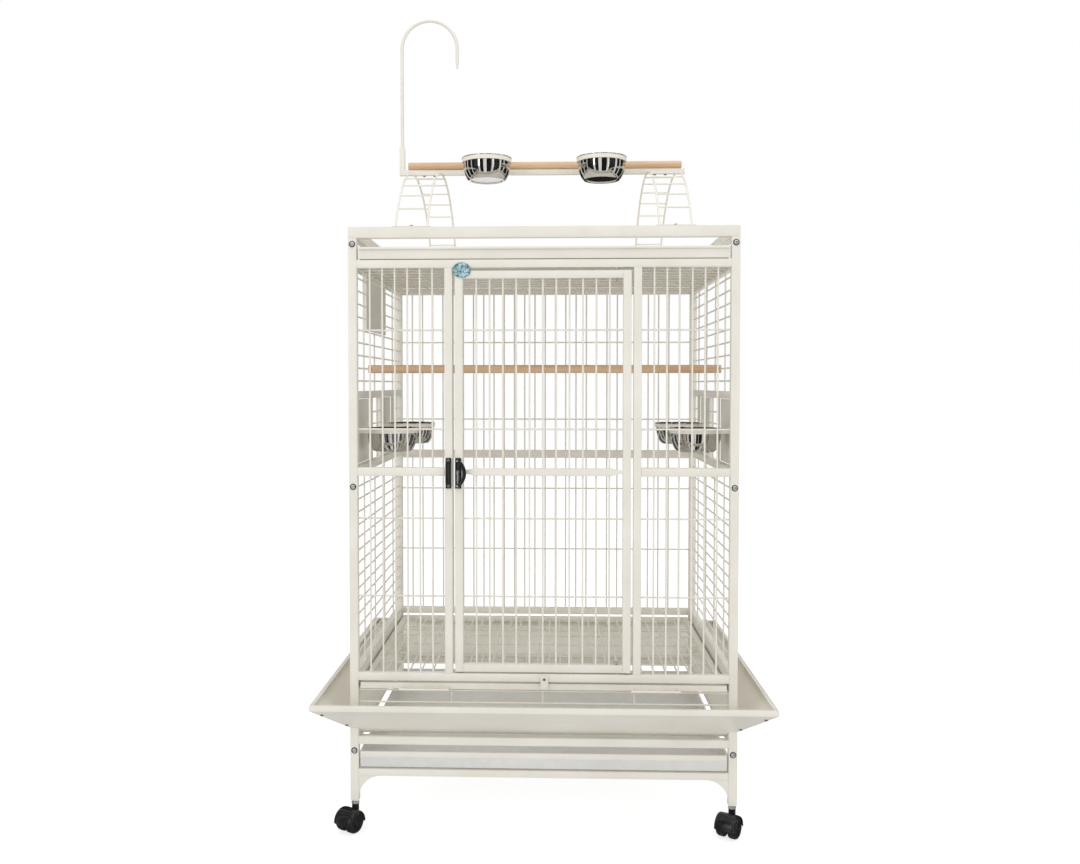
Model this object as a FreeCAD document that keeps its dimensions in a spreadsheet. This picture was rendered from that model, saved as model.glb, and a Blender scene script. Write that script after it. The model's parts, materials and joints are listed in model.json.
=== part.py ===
"""Parrot cage on a wheeled stand, with a play top: parametric FreeCAD model, millimetres, +Z up.

The origin is on the floor, under the middle of the cage. The front, with the door, faces -Y.
The cage is a welded frame of square tube with round bars, bolted at its corner posts. It carries a
front door, four feeder doors with bowls, a nest door, a pull-out grate, two pull-out trays, a
seed guard, twin-wheel casters and a play top with ladders, a perch, two bowls and a toy hook.
"""
import FreeCAD, Part
import math
import os
import re
import Sketcher
from FreeCAD import Placement, Rotation, Vector

DRIVING_SIZES = [
    ("body_width", 914, "outside width over the corner posts"),
    ("body_depth", 711, "outside depth over the corner posts"),
    ("rim_top", 1429, "top of the play-top rim"),
    ("rim_height", 26, "height of the rim tubes"),
    ("post_size", 20, "square corner post"),
    ("post_foot", 70, "lower end of the posts, above the floor"),
    ("rail_depth", 18, "depth of every welded rail"),
    ("tube_wall", 1.2, "wall of every tube"),
    ("wire_size", 4.2, "diameter of the cage bars"),
    ("weld_sink", 0.8, "spacing of crossed bars, in bar diameters"),
    ("lower_rail", 130, "underside of the lower base rails"),
    ("lower_rail_top", 147, "top of the lower base rails"),
    ("upper_rail", 206, "underside of the upper base rails"),
    ("upper_rail_top", 225, "top of the upper base rails"),
    ("gusset_size", 54, "leg of the curved gussets under the lower rails"),
    ("gusset_plate", 2, "thickness of the gussets"),
    ("floor_rail", 359, "underside of the cage's bottom rails"),
    ("floor_rail_top", 378, "top of the cage's bottom rails"),
    ("middle_rail", 845, "underside of the middle rails"),
    ("middle_rail_top", 865, "top of the middle rails"),
    ("back_middle_rail", 837, "underside of the back middle rail"),
    ("back_middle_rail_top", 861, "top of the back middle rail"),
    ("feeder_rail", 1026, "underside of the rails over the feeder doors"),
    ("feeder_rail_top", 1044, "top of the rails over the feeder doors"),
    ("ceiling_rail", 1333, "underside of the cage's top rails"),
    ("ceiling_rail_top", 1352, "top of the cage's top rails"),
    ("ceiling_wire", 1340, "height of the ceiling bars"),
    ("doorway_half", 212, "half of the doorway's width"),
    ("jamb_width", 18.5, "width of the doorway's jambs"),
    ("door_gap", 5.5, "gap between door and jamb"),
    ("door_foot", 382, "underside of the door"),
    ("door_top", 1326, "top of the door"),
    ("door_stile", 19, "width of the door's stiles"),
    ("door_rail", 18, "height of the door's rails"),
    ("door_axis", 173, "the door's pivot line, to the right of the middle"),
    ("pivot_pin", 6, "diameter of the door's pivot pins"),
    ("running_gap", 0.05, "radial play of a pin in its hole"),
    ("side_bar_pitch", 31, "pitch of the side panels' bars"),
    ("side_tie_first", 126, "first upright wire of a side panel, from the front"),
    ("side_tie_pitch", 145, "pitch of the side panels' upright wires"),
    ("feeder_near", 31, "front edge of the near feeder opening, from the front"),
    ("feeder_far", 370, "front edge of the far feeder opening, from the front"),
    ("feeder_width", 206, "width of a feeder opening"),
    ("jamb_rod", 8, "square rod beside the small openings"),
    ("nest_front", 173, "front edge of the nest opening, from the front"),
    ("nest_width", 266, "width of the nest opening"),
    ("nest_sill", 1206, "lower edge of the nest opening"),
    ("sheet", 1, "thickness of the doors' and trays' sheet"),
    ("hinge_wire", 4, "diameter of the small doors' hinge pins"),
    ("bowl_rim", 65, "outside radius of a bowl's rim"),
    ("bowl_body", 61.8, "radius of a bowl under its rim"),
    ("bowl_base", 48, "radius of a bowl's bottom"),
    ("bowl_height", 58, "height of a bowl"),
    ("ring_inside", 62.3, "inside radius of a bowl's ring"),
    ("ring_outside", 64.5, "outside radius of a bowl's ring"),
    ("ring_height", 10, "height of a bowl's ring"),
    ("feeder_bowl_rim", 954, "height of the feeder bowls' rims"),
    ("feeder_bowl_offset", 375, "the feeder bowls' centres, from the middle"),
    ("guard_reach", 79, "how far the seed guard stands out"),
    ("guard_fold", 309.5, "height of the guard's outer fold"),
    ("guard_lip", 321.5, "top of the guard's lip"),
    ("guard_foot", 227.5, "lower edge of the guard"),
    ("guard_tuck", 22, "how far the guard reaches in behind the post faces"),
    ("guard_sheet", 1.2, "thickness of the guard's sheet"),
    ("grate_underside", 340, "underside of the grate"),
    ("grate_height", 14, "height of the grate's frame"),
    ("grate_half", 432, "half of the grate's width"),
    ("slide_front", 353, "front of the grate and trays, from the middle"),
    ("slide_back", 334, "back of the grate and trays, from the middle"),
    ("tray_half", 433, "half of a tray's width"),
    ("tray_underside", 151.5, "underside of the droppings tray"),
    ("tray_top", 188.5, "top of the droppings tray"),
    ("top_tray_underside", 1354.3, "underside of the play-top tray"),
    ("top_tray_top", 1382, "top of the play-top tray"),
    ("runner_leg", 15, "leg of the runner angles"),
    ("runner_sheet", 1.5, "thickness of the runner angles"),
    ("ladder_inner", 271, "inner side wire of a ladder, from the middle"),
    ("ladder_outer", 346, "outer side wire of a ladder, from the middle"),
    ("ladder_wire", 5, "diameter of a ladder's side wires"),
    ("rung_wire", 4, "diameter of a ladder's rungs"),
    ("ladder_radius", 411.5, "radius of a ladder's arch"),
    ("ladder_apex", 1619, "height of the arch's wire at its top"),
    ("rung_step", 7.5, "angle between rungs along the arch, in degrees"),
    ("perch_tube", 14, "square tube under the top perch"),
    ("perch_tube_foot", 1621.5, "underside of the top perch's tube"),
    ("perch_tube_left", 388.5, "left end of the tube, from the middle"),
    ("perch_tube_right", 373, "right end of the tube, from the middle"),
    ("perch_size", 21, "diameter of the wooden perches"),
    ("perch_half", 365, "half of the top perch's length"),
    ("socket_top", 1697, "top of the toy hook's socket"),
    ("hook_wire", 9, "diameter of the toy hook"),
    ("hook_radius", 74, "radius of the toy hook's bend"),
    ("hook_centre", 1959, "height of the bend's centre"),
    ("top_bowl_offset", 149, "the top bowls' centres, from the middle"),
    ("top_bowl_front", 80.5, "the top bowls' centres, in front of the perch"),
    ("top_bowl_rim", 1648, "height of the top bowls' rims"),
    ("inside_perch_height", 1100, "centre of the inside perch"),
    ("inside_perch_depth", 125, "the inside perch, in front of the middle"),
    ("wheel_radius", 25, "radius of a caster's wheels"),
    ("wheel_width", 20, "width of a caster wheel"),
    ("wheel_gap", 10, "gap between the two wheels of a caster"),
    ("hood_radius", 29, "outside radius of a caster's hood"),
    ("caster_trail", 20, "distance from swivel axis to axle"),
    ("caster_turn", -32, "how far the casters are turned at rest, in degrees"),
    ("stem_size", 11, "diameter of a caster's stem"),
    ("latch_foot", 816, "lower end of the door latch"),
    ("latch_height", 72, "height of the door latch"),
]
BAR_COUNTS = {
    "front_side": 6,
    "door": 11,
    "side_lower": 14,
    "side_upper": 9,
    "side_tie": 4,
    "feeder_zone": 4,
    "back": 27,
    "ceiling_cross": 10,
    "grate": 28,
    "grate_cross": 6,
    "ladder_half_rungs": 7,
}
TIE_HEIGHTS = {"lower": (559, 744), "upper": (955, 1188)}
BOLT_HEIGHTS = (191, 819, 1389)
X, Y, Z = 0, 1, 2
ALONG = {X: Rotation(Vector(0, 1, 0), 90), Y: Rotation(Vector(1, 0, 0), -90), Z: Rotation()}
ORIGIN_PLANE = {X: "YZ_Plane", Y: "XZ_Plane", Z: "XY_Plane"}
SLACK = 1
TOLERANCE = 1e-6

doc = FreeCAD.newDocument("parrot_cage")
sizes = doc.addObject("Spreadsheet::Sheet", "Sizes")
for row, (alias, size, meaning) in enumerate(DRIVING_SIZES, start=1):
    sizes.set(f"A{row}", meaning)
    sizes.set(f"B{row}", str(size))
    sizes.setAlias(f"B{row}", alias)
doc.recompute()
SIZE = {alias: float(sizes.get(alias)) for alias, _, _ in DRIVING_SIZES}
subparts = []


# ---------------------------------------------------------------- formulas and simple solids

def formula(text):
    """The text with every driving size's name pointing at its spreadsheet cell."""
    return re.sub(
        r"[a-z][a-z_]+", lambda word: f"Sizes.{word[0]}" if word[0] in SIZE else word[0], str(text)
    )


def bind(item, **formulas):
    """Drive properties by formulas of the spreadsheet. Two underscores in a name stand for a dot."""
    for name, text in formulas.items():
        item.setExpression(name.replace("__", "."), formula(text))
    return item


def place(item, position, rotation=None):
    """Put an item at a position given as three formulas, turned by a fixed rotation."""
    item.Placement = Placement(Vector(), rotation or Rotation())
    return bind(
        item,
        Placement__Base__x=position[X],
        Placement__Base__y=position[Y],
        Placement__Base__z=position[Z],
    )


def subpart(item):
    """Keep an item as a separate piece of the cage."""
    subparts.append(item)
    return item


def block(label, low, high):
    """A box between two corners given as formulas."""
    item = doc.addObject("Part::Box", label)
    spans = [f"({top}) - ({bottom})" for bottom, top in zip(low, high)]
    bind(item, Length=spans[X], Width=spans[Y], Height=spans[Z])
    return place(item, low)


def rod(label, axis, start, length, diameter="wire_size"):
    """A round bar that starts at a point and runs along an axis."""
    item = doc.addObject("Part::Cylinder", label)
    bind(item, Radius=f"({diameter}) / 2", Height=length)
    return place(item, start, ALONG[axis])


def cut(label, base, tool):
    item = doc.addObject("Part::Cut", label)
    item.Base = base
    item.Tool = tool
    return item


def common(label, base, tool):
    item = doc.addObject("Part::Common", label)
    item.Base = base
    item.Tool = tool
    return item


def weld(label, pieces):
    """Pieces that are welded or moulded into one."""
    item = doc.addObject("Part::MultiFuse", label)
    item.Shapes = pieces
    return item


def group(label, pieces):
    """Separate solids that share a name."""
    item = doc.addObject("Part::Compound", label)
    item.Links = pieces
    return item


def tube(label, axis, low, high):
    """A rectangular tube with open ends."""
    bore_low = [
        f"({low[side]}) - {SLACK}" if side == axis else f"({low[side]}) + tube_wall" for side in (X, Y, Z)
    ]
    bore_high = [
        f"({high[side]}) + {SLACK}" if side == axis else f"({high[side]}) - tube_wall" for side in (X, Y, Z)
    ]
    return cut(label, block(f"{label}_outside", low, high), block(f"{label}_bore", bore_low, bore_high))


def row_of_rods(label, axis, start, step_axis, pitch, count, length, diameter="wire_size"):
    """Equal round bars, one pitch apart."""
    rods = []
    for number in range(count):
        first = list(start)
        first[step_axis] = f"({start[step_axis]}) + {number} * ({pitch})"
        rods.append(rod(f"{label}_{number + 1}", axis, first, length, diameter))
    return rods


def origin_plane(body, axis):
    """The origin plane of a body that lies across an axis."""
    return next(feature for feature in body.Origin.OriginFeatures if feature.Role == ORIGIN_PLANE[axis])


def outline(body, label, axis, offset, corners):
    """A closed sketch across an axis. Every corner is held by two formulas measured from the origin."""
    sketch = body.newObject("Sketcher::SketchObject", label)
    sketch.AttachmentSupport = [(origin_plane(body, axis), "")]
    sketch.MapMode = "FlatFace"
    sign = "-1" if axis == Y else "1"
    bind(sketch, AttachmentOffset__Base__z=f"{sign} * ({offset})")
    count = len(corners)
    for number in range(count):
        angle, following = 2 * math.pi * number / count, 2 * math.pi * (number + 1) / count
        start = Vector(math.cos(angle), math.sin(angle), 0)
        end = Vector(math.cos(following), math.sin(following), 0)
        sketch.addGeometry(Part.LineSegment(start, end))
    for number in range(count):
        sketch.addConstraint(Sketcher.Constraint("Coincident", number, 2, (number + 1) % count, 1))
    for number, (across, up) in enumerate(corners):
        for kind, text in (("DistanceX", across), ("DistanceY", up)):
            index = sketch.addConstraint(Sketcher.Constraint(kind, number, 1, 1.0))
            sketch.setExpression(f"Constraints[{index}]", formula(text))
    return sketch


def plate(label, axis, low, high, corners):
    """A PartDesign body: a closed outline, padded along an axis from one formula to another."""
    body = doc.addObject("PartDesign::Body", label)
    sketch = outline(body, f"{label}_outline", axis, low, corners)
    pad = body.newObject("PartDesign::Pad", f"{label}_pad")
    pad.Profile = sketch
    pad.Reversed = axis == Y
    bind(pad, Length=f"({high}) - ({low})")
    body.Tip = pad
    return body


def turned(label, corners, centre, rotation=None):
    """A PartDesign body turned about its own vertical axis from a half outline of radius and height."""
    body = doc.addObject("PartDesign::Body", label)
    sketch = outline(body, f"{label}_outline", Y, "0", corners)
    revolution = body.newObject("PartDesign::Revolution", f"{label}_revolution")
    revolution.Profile = sketch
    revolution.ReferenceAxis = (sketch, ["V_Axis"])
    revolution.Angle = 360
    body.Tip = revolution
    return place(body, centre, rotation)


# ---------------------------------------------------------------- frame of tubes

HALF_WIDTH = "body_width / 2"
HALF_DEPTH = "body_depth / 2"
INNER_WIDTH = "(body_width / 2 - post_size)"
INNER_DEPTH = "(body_depth / 2 - post_size)"
RAIL_WIDTH = "(body_width / 2 - rail_depth)"
RAIL_DEPTH = "(body_depth / 2 - rail_depth)"
RIM_FOOT = "rim_top - rim_height"


def front_rail(label, low, high, left=f"-{INNER_WIDTH}", right=INNER_WIDTH):
    """A rail along X, flush with the front of the posts."""
    return tube(label, X, (left, f"-{HALF_DEPTH}", low), (right, f"-{RAIL_DEPTH}", high))


def back_rail(label, low, high):
    return tube(label, X, (f"-{INNER_WIDTH}", RAIL_DEPTH, low), (INNER_WIDTH, HALF_DEPTH, high))


def side_rail(label, side, low, high):
    """A rail along Y, flush with the outside of the posts. Side is -1 on the left and 1 on the right."""
    inside, outside = (f"-{HALF_WIDTH}", f"-{RAIL_WIDTH}") if side < 0 else (RAIL_WIDTH, HALF_WIDTH)
    return tube(label, Y, (inside, f"-{INNER_DEPTH}", low), (outside, INNER_DEPTH, high))


def corner_posts():
    posts = []
    for side in (-1, 1):
        for end in (-1, 1):
            centre_x = f"{side} * (body_width - post_size) / 2"
            centre_y = f"{end} * (body_depth - post_size) / 2"
            low = (f"{centre_x} - post_size / 2", f"{centre_y} - post_size / 2", "post_foot")
            high = (f"{centre_x} + post_size / 2", f"{centre_y} + post_size / 2", RIM_FOOT)
            posts.append(tube(f"post_{len(posts) + 1}", Z, low, high))
    return group("corner_posts", posts)


def mitred_tube(label, outer_half, inner_half, half_long, short_axis, end):
    """One side of the rim: a tube whose two ends are mitred at 45 degrees."""
    shapes = []
    for name, wall in (("outside", "0"), ("bore", "tube_wall")):
        near, far = f"({outer_half} - {wall})", f"({inner_half} + {wall})"
        reach = f"({half_long})"
        corners = [
            (f"-1 * ({reach} - {wall})", f"{end} * {near}"),
            (f"{reach} - {wall}", f"{end} * {near}"),
            (f"{reach} - ({outer_half} - {inner_half}) + {wall}", f"{end} * {far}"),
            (f"-1 * ({reach} - ({outer_half} - {inner_half}) + {wall})", f"{end} * {far}"),
        ]
        if short_axis == X:
            corners = [(up, across) for across, up in corners]
        shapes.append(plate(f"{label}_{name}", Z, f"{RIM_FOOT} + {wall}", f"rim_top - {wall}", corners))
    return cut(label, shapes[0], shapes[1])


def top_rim():
    depth = (HALF_DEPTH, INNER_DEPTH, HALF_WIDTH, Y)
    width = (HALF_WIDTH, INNER_WIDTH, HALF_DEPTH, X)
    sides = []
    for name, (outer, inner, reach, axis), end in (
        ("rim_front", depth, -1),
        ("rim_back", depth, 1),
        ("rim_left", width, -1),
        ("rim_right", width, 1),
    ):
        sides.append(mitred_tube(name, outer, inner, reach, axis, end))
    return group("top_rim", sides)


def gusset(label, axis, side, end):
    """A plate with a concave edge in the corner between a post and a lower rail."""
    post_face = f"{INNER_WIDTH}" if axis == Y else f"{INNER_DEPTH}"
    direction, other = (side, end) if axis == Y else (end, side)
    face = f"({HALF_DEPTH} - gusset_plate)" if axis == Y else f"({HALF_WIDTH} - gusset_plate)"
    near = f"{direction} * {post_face}"
    far = f"{direction} * ({post_face} - gusset_size)"
    foot, top = "lower_rail - gusset_size", "lower_rail"
    depth_low = f"{other} * ({face} - gusset_plate / 2) - gusset_plate / 2"
    depth_high = f"{other} * ({face} - gusset_plate / 2) + gusset_plate / 2"
    square = plate(
        f"{label}_square",
        axis,
        depth_low,
        depth_high,
        [(near, foot), (far, foot), (far, top), (near, top)],
    )
    start = (far, depth_low, foot) if axis == Y else (depth_low, far, foot)
    return cut(label, square, rod(f"{label}_curve", axis, start, "gusset_plate", "2 * gusset_size"))


def base_frame():
    pieces = []
    for name, low, high in (
        ("lower", "lower_rail", "lower_rail_top"), ("upper", "upper_rail", "upper_rail_top")
    ):
        pieces.append(front_rail(f"base_front_{name}", low, high))
        pieces.append(back_rail(f"base_back_{name}", low, high))
        pieces.append(side_rail(f"base_left_{name}", -1, low, high))
        pieces.append(side_rail(f"base_right_{name}", 1, low, high))
    for side in (-1, 1):
        for end in (-1, 1):
            for axis in (X, Y):
                pieces.append(gusset(f"gusset_{len(pieces)}", axis, side, end))
    return group("base_frame", pieces)


def front_rails():
    pieces = [
        front_rail("front_floor_rail", "floor_rail", "floor_rail_top"),
        front_rail("front_ceiling_rail", "ceiling_rail", "ceiling_rail_top"),
    ]
    for name, side in (("left", -1), ("right", 1)):
        near, far = f"{side} * doorway_half", f"{side} * (doorway_half + jamb_width)"
        low, high = (far, near) if side < 0 else (near, far)
        low_corner = (low, f"-{HALF_DEPTH}", "floor_rail_top")
        high_corner = (high, f"-{RAIL_DEPTH}", "ceiling_rail")
        pieces.append(tube(f"front_{name}_jamb", Z, low_corner, high_corner))
        ends = (f"-{INNER_WIDTH}", far) if side < 0 else (far, INNER_WIDTH)
        pieces.append(front_rail(f"front_{name}_middle_rail", "middle_rail", "middle_rail_top", *ends))
    return group("front_rails", pieces)


def side_openings():
    """The near and far feeder openings, as formulas of Y."""
    return [
        (
            f"{start} - {HALF_DEPTH}", f"{start} + feeder_width - {HALF_DEPTH}"
        ) for start in ("feeder_near", "feeder_far")
    ]


def upright_rod(label, side, low_y, low_z, high_z):
    """A square rod in the plane of a side panel."""
    plane = f"{side} * ({HALF_WIDTH} - rail_depth / 2)"
    low = (f"{plane} - jamb_rod / 2", low_y, low_z)
    high = (f"{plane} + jamb_rod / 2", f"{low_y} + jamb_rod", high_z)
    return block(label, low, high)


def side_rails(name, side):
    levels = (
        ("floor", "floor_rail", "floor_rail_top"),
        ("middle", "middle_rail", "middle_rail_top"),
        ("feeder", "feeder_rail", "feeder_rail_top"),
        ("ceiling", "ceiling_rail", "ceiling_rail_top"),
    )
    pieces = [side_rail(f"{name}_{level}_rail", side, low, high) for level, low, high in levels]
    for number, (start, end) in enumerate(side_openings(), start=1):
        for place_name, low_y in (("front", f"{start} - jamb_rod"), ("back", end)):
            label = f"{name}_feeder_jamb_{place_name}_{number}"
            pieces.append(upright_rod(label, side, low_y, "middle_rail_top", "feeder_rail"))
    if side < 0:
        start, end = f"nest_front - {HALF_DEPTH}", f"nest_front + nest_width - {HALF_DEPTH}"
        plane = f"{side} * ({HALF_WIDTH} - rail_depth / 2)"
        pieces.append(
            upright_rod(
                "nest_jamb_front", side, f"{start} - jamb_rod", "nest_sill - jamb_rod", "ceiling_rail"
            )
        )
        pieces.append(upright_rod("nest_jamb_back", side, end, "nest_sill - jamb_rod", "ceiling_rail"))
        sill_low = (f"{plane} - jamb_rod / 2", start, "nest_sill - jamb_rod")
        sill_high = (f"{plane} + jamb_rod / 2", end, "nest_sill")
        pieces.append(block("nest_sill_rod", sill_low, sill_high))
    return group(f"{name}_rails", pieces)


def back_rails():
    levels = (
        ("floor", "floor_rail", "floor_rail_top"),
        ("middle", "back_middle_rail", "back_middle_rail_top"),
        ("ceiling", "ceiling_rail", "ceiling_rail_top"),
    )
    return group("back_rails", [back_rail(f"back_{level}_rail", low, high) for level, low, high in levels])


# ---------------------------------------------------------------- welded bars

def bar_panel(label, left, right, low, high, count, plane, tie_heights, tie_side):
    """Upright bars between two rails, with thin cross ties welded on one side of them."""
    pitch = f"(({right}) - ({left})) / {count + 1}"
    start = (f"({left}) + {pitch}", plane, low)
    bars = row_of_rods(f"{label}_bar", Z, start, X, pitch, count, f"({high}) - ({low})")
    tie_plane = f"{plane} + {tie_side} * weld_sink * wire_size"
    for number, height in enumerate(tie_heights, start=1):
        bars.append(rod(f"{label}_tie_{number}", X, (left, tie_plane, height), f"({right}) - ({left})"))
    return weld(label, bars)


def front_bars():
    plane = f"-({HALF_DEPTH} - rail_depth / 2)"
    levels = {"lower": ("floor_rail_top", "middle_rail"), "upper": ("middle_rail_top", "ceiling_rail")}
    jamb = "(doorway_half + jamb_width)"
    panels = []
    for name, left, right in (("left", f"-{INNER_WIDTH}", f"-{jamb}"), ("right", jamb, INNER_WIDTH)):
        for level, (low, high) in levels.items():
            label = f"front_{name}_{level}_bars"
            ties = TIE_HEIGHTS[level]
            panels.append(
                bar_panel(label, left, right, low, high, BAR_COUNTS["front_side"], plane, ties, 1)
            )
    return group("front_bars", panels)


def back_bars():
    plane = f"{HALF_DEPTH} - rail_depth / 2"
    levels = {
        "lower": ("floor_rail_top", "back_middle_rail"), "upper": ("back_middle_rail_top", "ceiling_rail")
    }
    panels = []
    for level, (low, high) in levels.items():
        ends = (f"-{INNER_WIDTH}", INNER_WIDTH, low, high)
        panels.append(
            bar_panel(f"back_{level}_bars", *ends, BAR_COUNTS["back"], plane, TIE_HEIGHTS[level], -1)
        )
    return group("back_bars", panels)


def side_mesh(label, side, start_y, end_y, first_z, count, tie_places, low_z, high_z):
    """Level bars along Y, with upright ties welded to their inner side."""
    plane = f"{side} * ({HALF_WIDTH} - rail_depth / 2)"
    tie_plane = f"{side} * ({HALF_WIDTH} - rail_depth / 2 - weld_sink * wire_size)"
    length = f"({end_y}) - ({start_y})"
    bars = row_of_rods(f"{label}_bar", Y, (plane, start_y, first_z), Z, "side_bar_pitch", count, length)
    for number, place_y in enumerate(tie_places, start=1):
        bars.append(rod(f"{label}_tie_{number}", Z, (tie_plane, place_y, low_z), f"({high_z}) - ({low_z})"))
    return weld(label, bars)


def side_bars(name, side):
    ties = [
        f"side_tie_first + {number} * side_tie_pitch - {HALF_DEPTH}" for number in range(
            BAR_COUNTS["side_tie"]
        )
    ]
    ends = (f"-{INNER_DEPTH}", INNER_DEPTH)
    half_gap = "(middle_rail - floor_rail_top - 13 * side_bar_pitch) / 2"
    lower_first = f"floor_rail_top + {half_gap}"
    lower = (lower_first, BAR_COUNTS["side_lower"], ties, "floor_rail_top", "middle_rail")
    pieces = [side_mesh(f"{name}_lower_bars", side, *ends, *lower)]
    openings = side_openings()
    zones = (
        (f"{openings[0][1]} + jamb_rod", f"{openings[1][0]} - jamb_rod"),
        (f"{openings[1][1]} + jamb_rod", INNER_DEPTH),
    )
    zone_first = "middle_rail_top + side_bar_pitch"
    for number, (start, end) in enumerate(zones, start=1):
        middle = f"(({start}) + ({end})) / 2"
        zone = (zone_first, BAR_COUNTS["feeder_zone"], [middle], "middle_rail_top", "feeder_rail")
        pieces.append(side_mesh(f"{name}_feeder_bars_{number}", side, start, end, *zone))
    upper_count = BAR_COUNTS["side_upper"]
    upper_first = "feeder_rail_top + 25"
    if side > 0:
        upper = (upper_first, upper_count, ties, "feeder_rail_top", "ceiling_rail")
        pieces.append(side_mesh("right_upper_bars", side, *ends, *upper))
        return group("right_bars", pieces)
    under_nest = 5
    sill = "nest_sill - jamb_rod"
    band = (upper_first, under_nest, ties, "feeder_rail_top", sill)
    pieces.append(side_mesh("left_band_bars", side, *ends, *band))
    beside_first = f"{upper_first} + {under_nest} * side_bar_pitch"
    beside_count = upper_count - under_nest
    nest_low, nest_high = f"nest_front - {HALF_DEPTH}", f"nest_front + nest_width - {HALF_DEPTH}"
    beside = (
        ("front", ends[0], f"{nest_low} - jamb_rod", ties[0]),
        ("back", f"{nest_high} + jamb_rod", ends[1], ties[3]),
    )
    for place_name, start, end, tie in beside:
        zone = (beside_first, beside_count, [tie], sill, "ceiling_rail")
        pieces.append(side_mesh(f"left_{place_name}_nest_bars", side, start, end, *zone))
    return group("left_bars", pieces)


def ceiling_bars():
    """Bars from front to back under the top tray, with cross bars below them."""
    count = BAR_COUNTS["back"]
    pitch = f"2 * {INNER_WIDTH} / {count + 1}"
    start = (f"-{INNER_WIDTH} + {pitch}", f"-{RAIL_DEPTH}", "ceiling_wire")
    bars = row_of_rods("ceiling_bar", Y, start, X, pitch, count, f"2 * {RAIL_DEPTH}")
    cross_count = BAR_COUNTS["ceiling_cross"]
    cross_pitch = f"2 * {RAIL_DEPTH} / {cross_count + 1}"
    cross_start = (
        f"-{RAIL_WIDTH}", f"-{RAIL_DEPTH} + {cross_pitch}", "ceiling_wire - weld_sink * wire_size"
    )
    bars += row_of_rods("ceiling_cross", X, cross_start, Y, cross_pitch, cross_count, f"2 * {RAIL_WIDTH}")
    return weld("ceiling_bars", bars)


def gap_guards():
    """Low wire fences that close the gap between the grate and the seed guard, on all four sides."""
    low, high = "grate_underside - 34", "grate_underside - 5"
    inset = "rail_depth / 2"
    stub = "wire_size * 0.8"
    fences = []
    for name, end in (("front", -1), ("back", 1)):
        plane = f"{end} * ({HALF_DEPTH} - {inset})"
        rods = [
            rod(
                f"{name}_fence_{z}", X, (f"-{INNER_WIDTH}", plane, z), f"2 * {INNER_WIDTH}"
            ) for z in (low, high)
        ]
        for number, place_x in enumerate(("-216", "0", "216"), start=1):
            rods.append(
                rod(f"{name}_fence_stub_{number}", Z, (place_x, plane, low), f"({high}) - ({low})", stub)
            )
        fences.append(weld(f"{name}_fence", rods))
    for name, side in (("left", -1), ("right", 1)):
        plane = f"{side} * ({HALF_WIDTH} - {inset})"
        rods = [
            rod(
                f"{name}_fence_{z}", Y, (plane, f"-{INNER_DEPTH}", z), f"2 * {INNER_DEPTH}"
            ) for z in (low, high)
        ]
        for number, place_y in enumerate(("-168", "0", "168"), start=1):
            rods.append(
                rod(f"{name}_fence_stub_{number}", Z, (plane, place_y, low), f"({high}) - ({low})", stub)
            )
        fences.append(weld(f"{name}_fence", rods))
    return group("gap_guards", fences)


def slide_runners():
    """Angles that the grate and the two trays slide on, welded inside the side rails."""
    runners = []
    for name, top, shelf in (
        ("grate", "floor_rail_top - 4", "grate_underside - 0.3"),
        ("tray", "tray_underside + 1", "tray_underside - 0.3"),
        ("top_tray", "ceiling_rail_top - 4", "top_tray_underside - 0.3"),
    ):
        for side in (-1, 1):
            wall = f"{side} * {RAIL_WIDTH}"
            inner = f"{side} * ({RAIL_WIDTH} - runner_leg)"
            face = f"{side} * ({RAIL_WIDTH} - runner_sheet)"
            foot = f"{shelf} - runner_sheet"
            edge = {
                "grate": top, "tray": f"{shelf} - runner_leg", "top_tray": f"{shelf} - runner_leg"
            }[name]
            corners = [
                (wall, foot), (inner, foot), (inner, shelf), (face, shelf), (face, edge), (wall, edge)
            ]
            if name != "grate":
                corners = [
                    (wall, shelf), (inner, shelf), (inner, foot), (face, foot), (face, edge), (wall, edge)
                ]
            runners.append(plate(f"{name}_runner_{side + 2}", Y, f"-{INNER_DEPTH}", INNER_DEPTH, corners))
    return group("slide_runners", runners)


# ---------------------------------------------------------------- seed guard and fasteners

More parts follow.
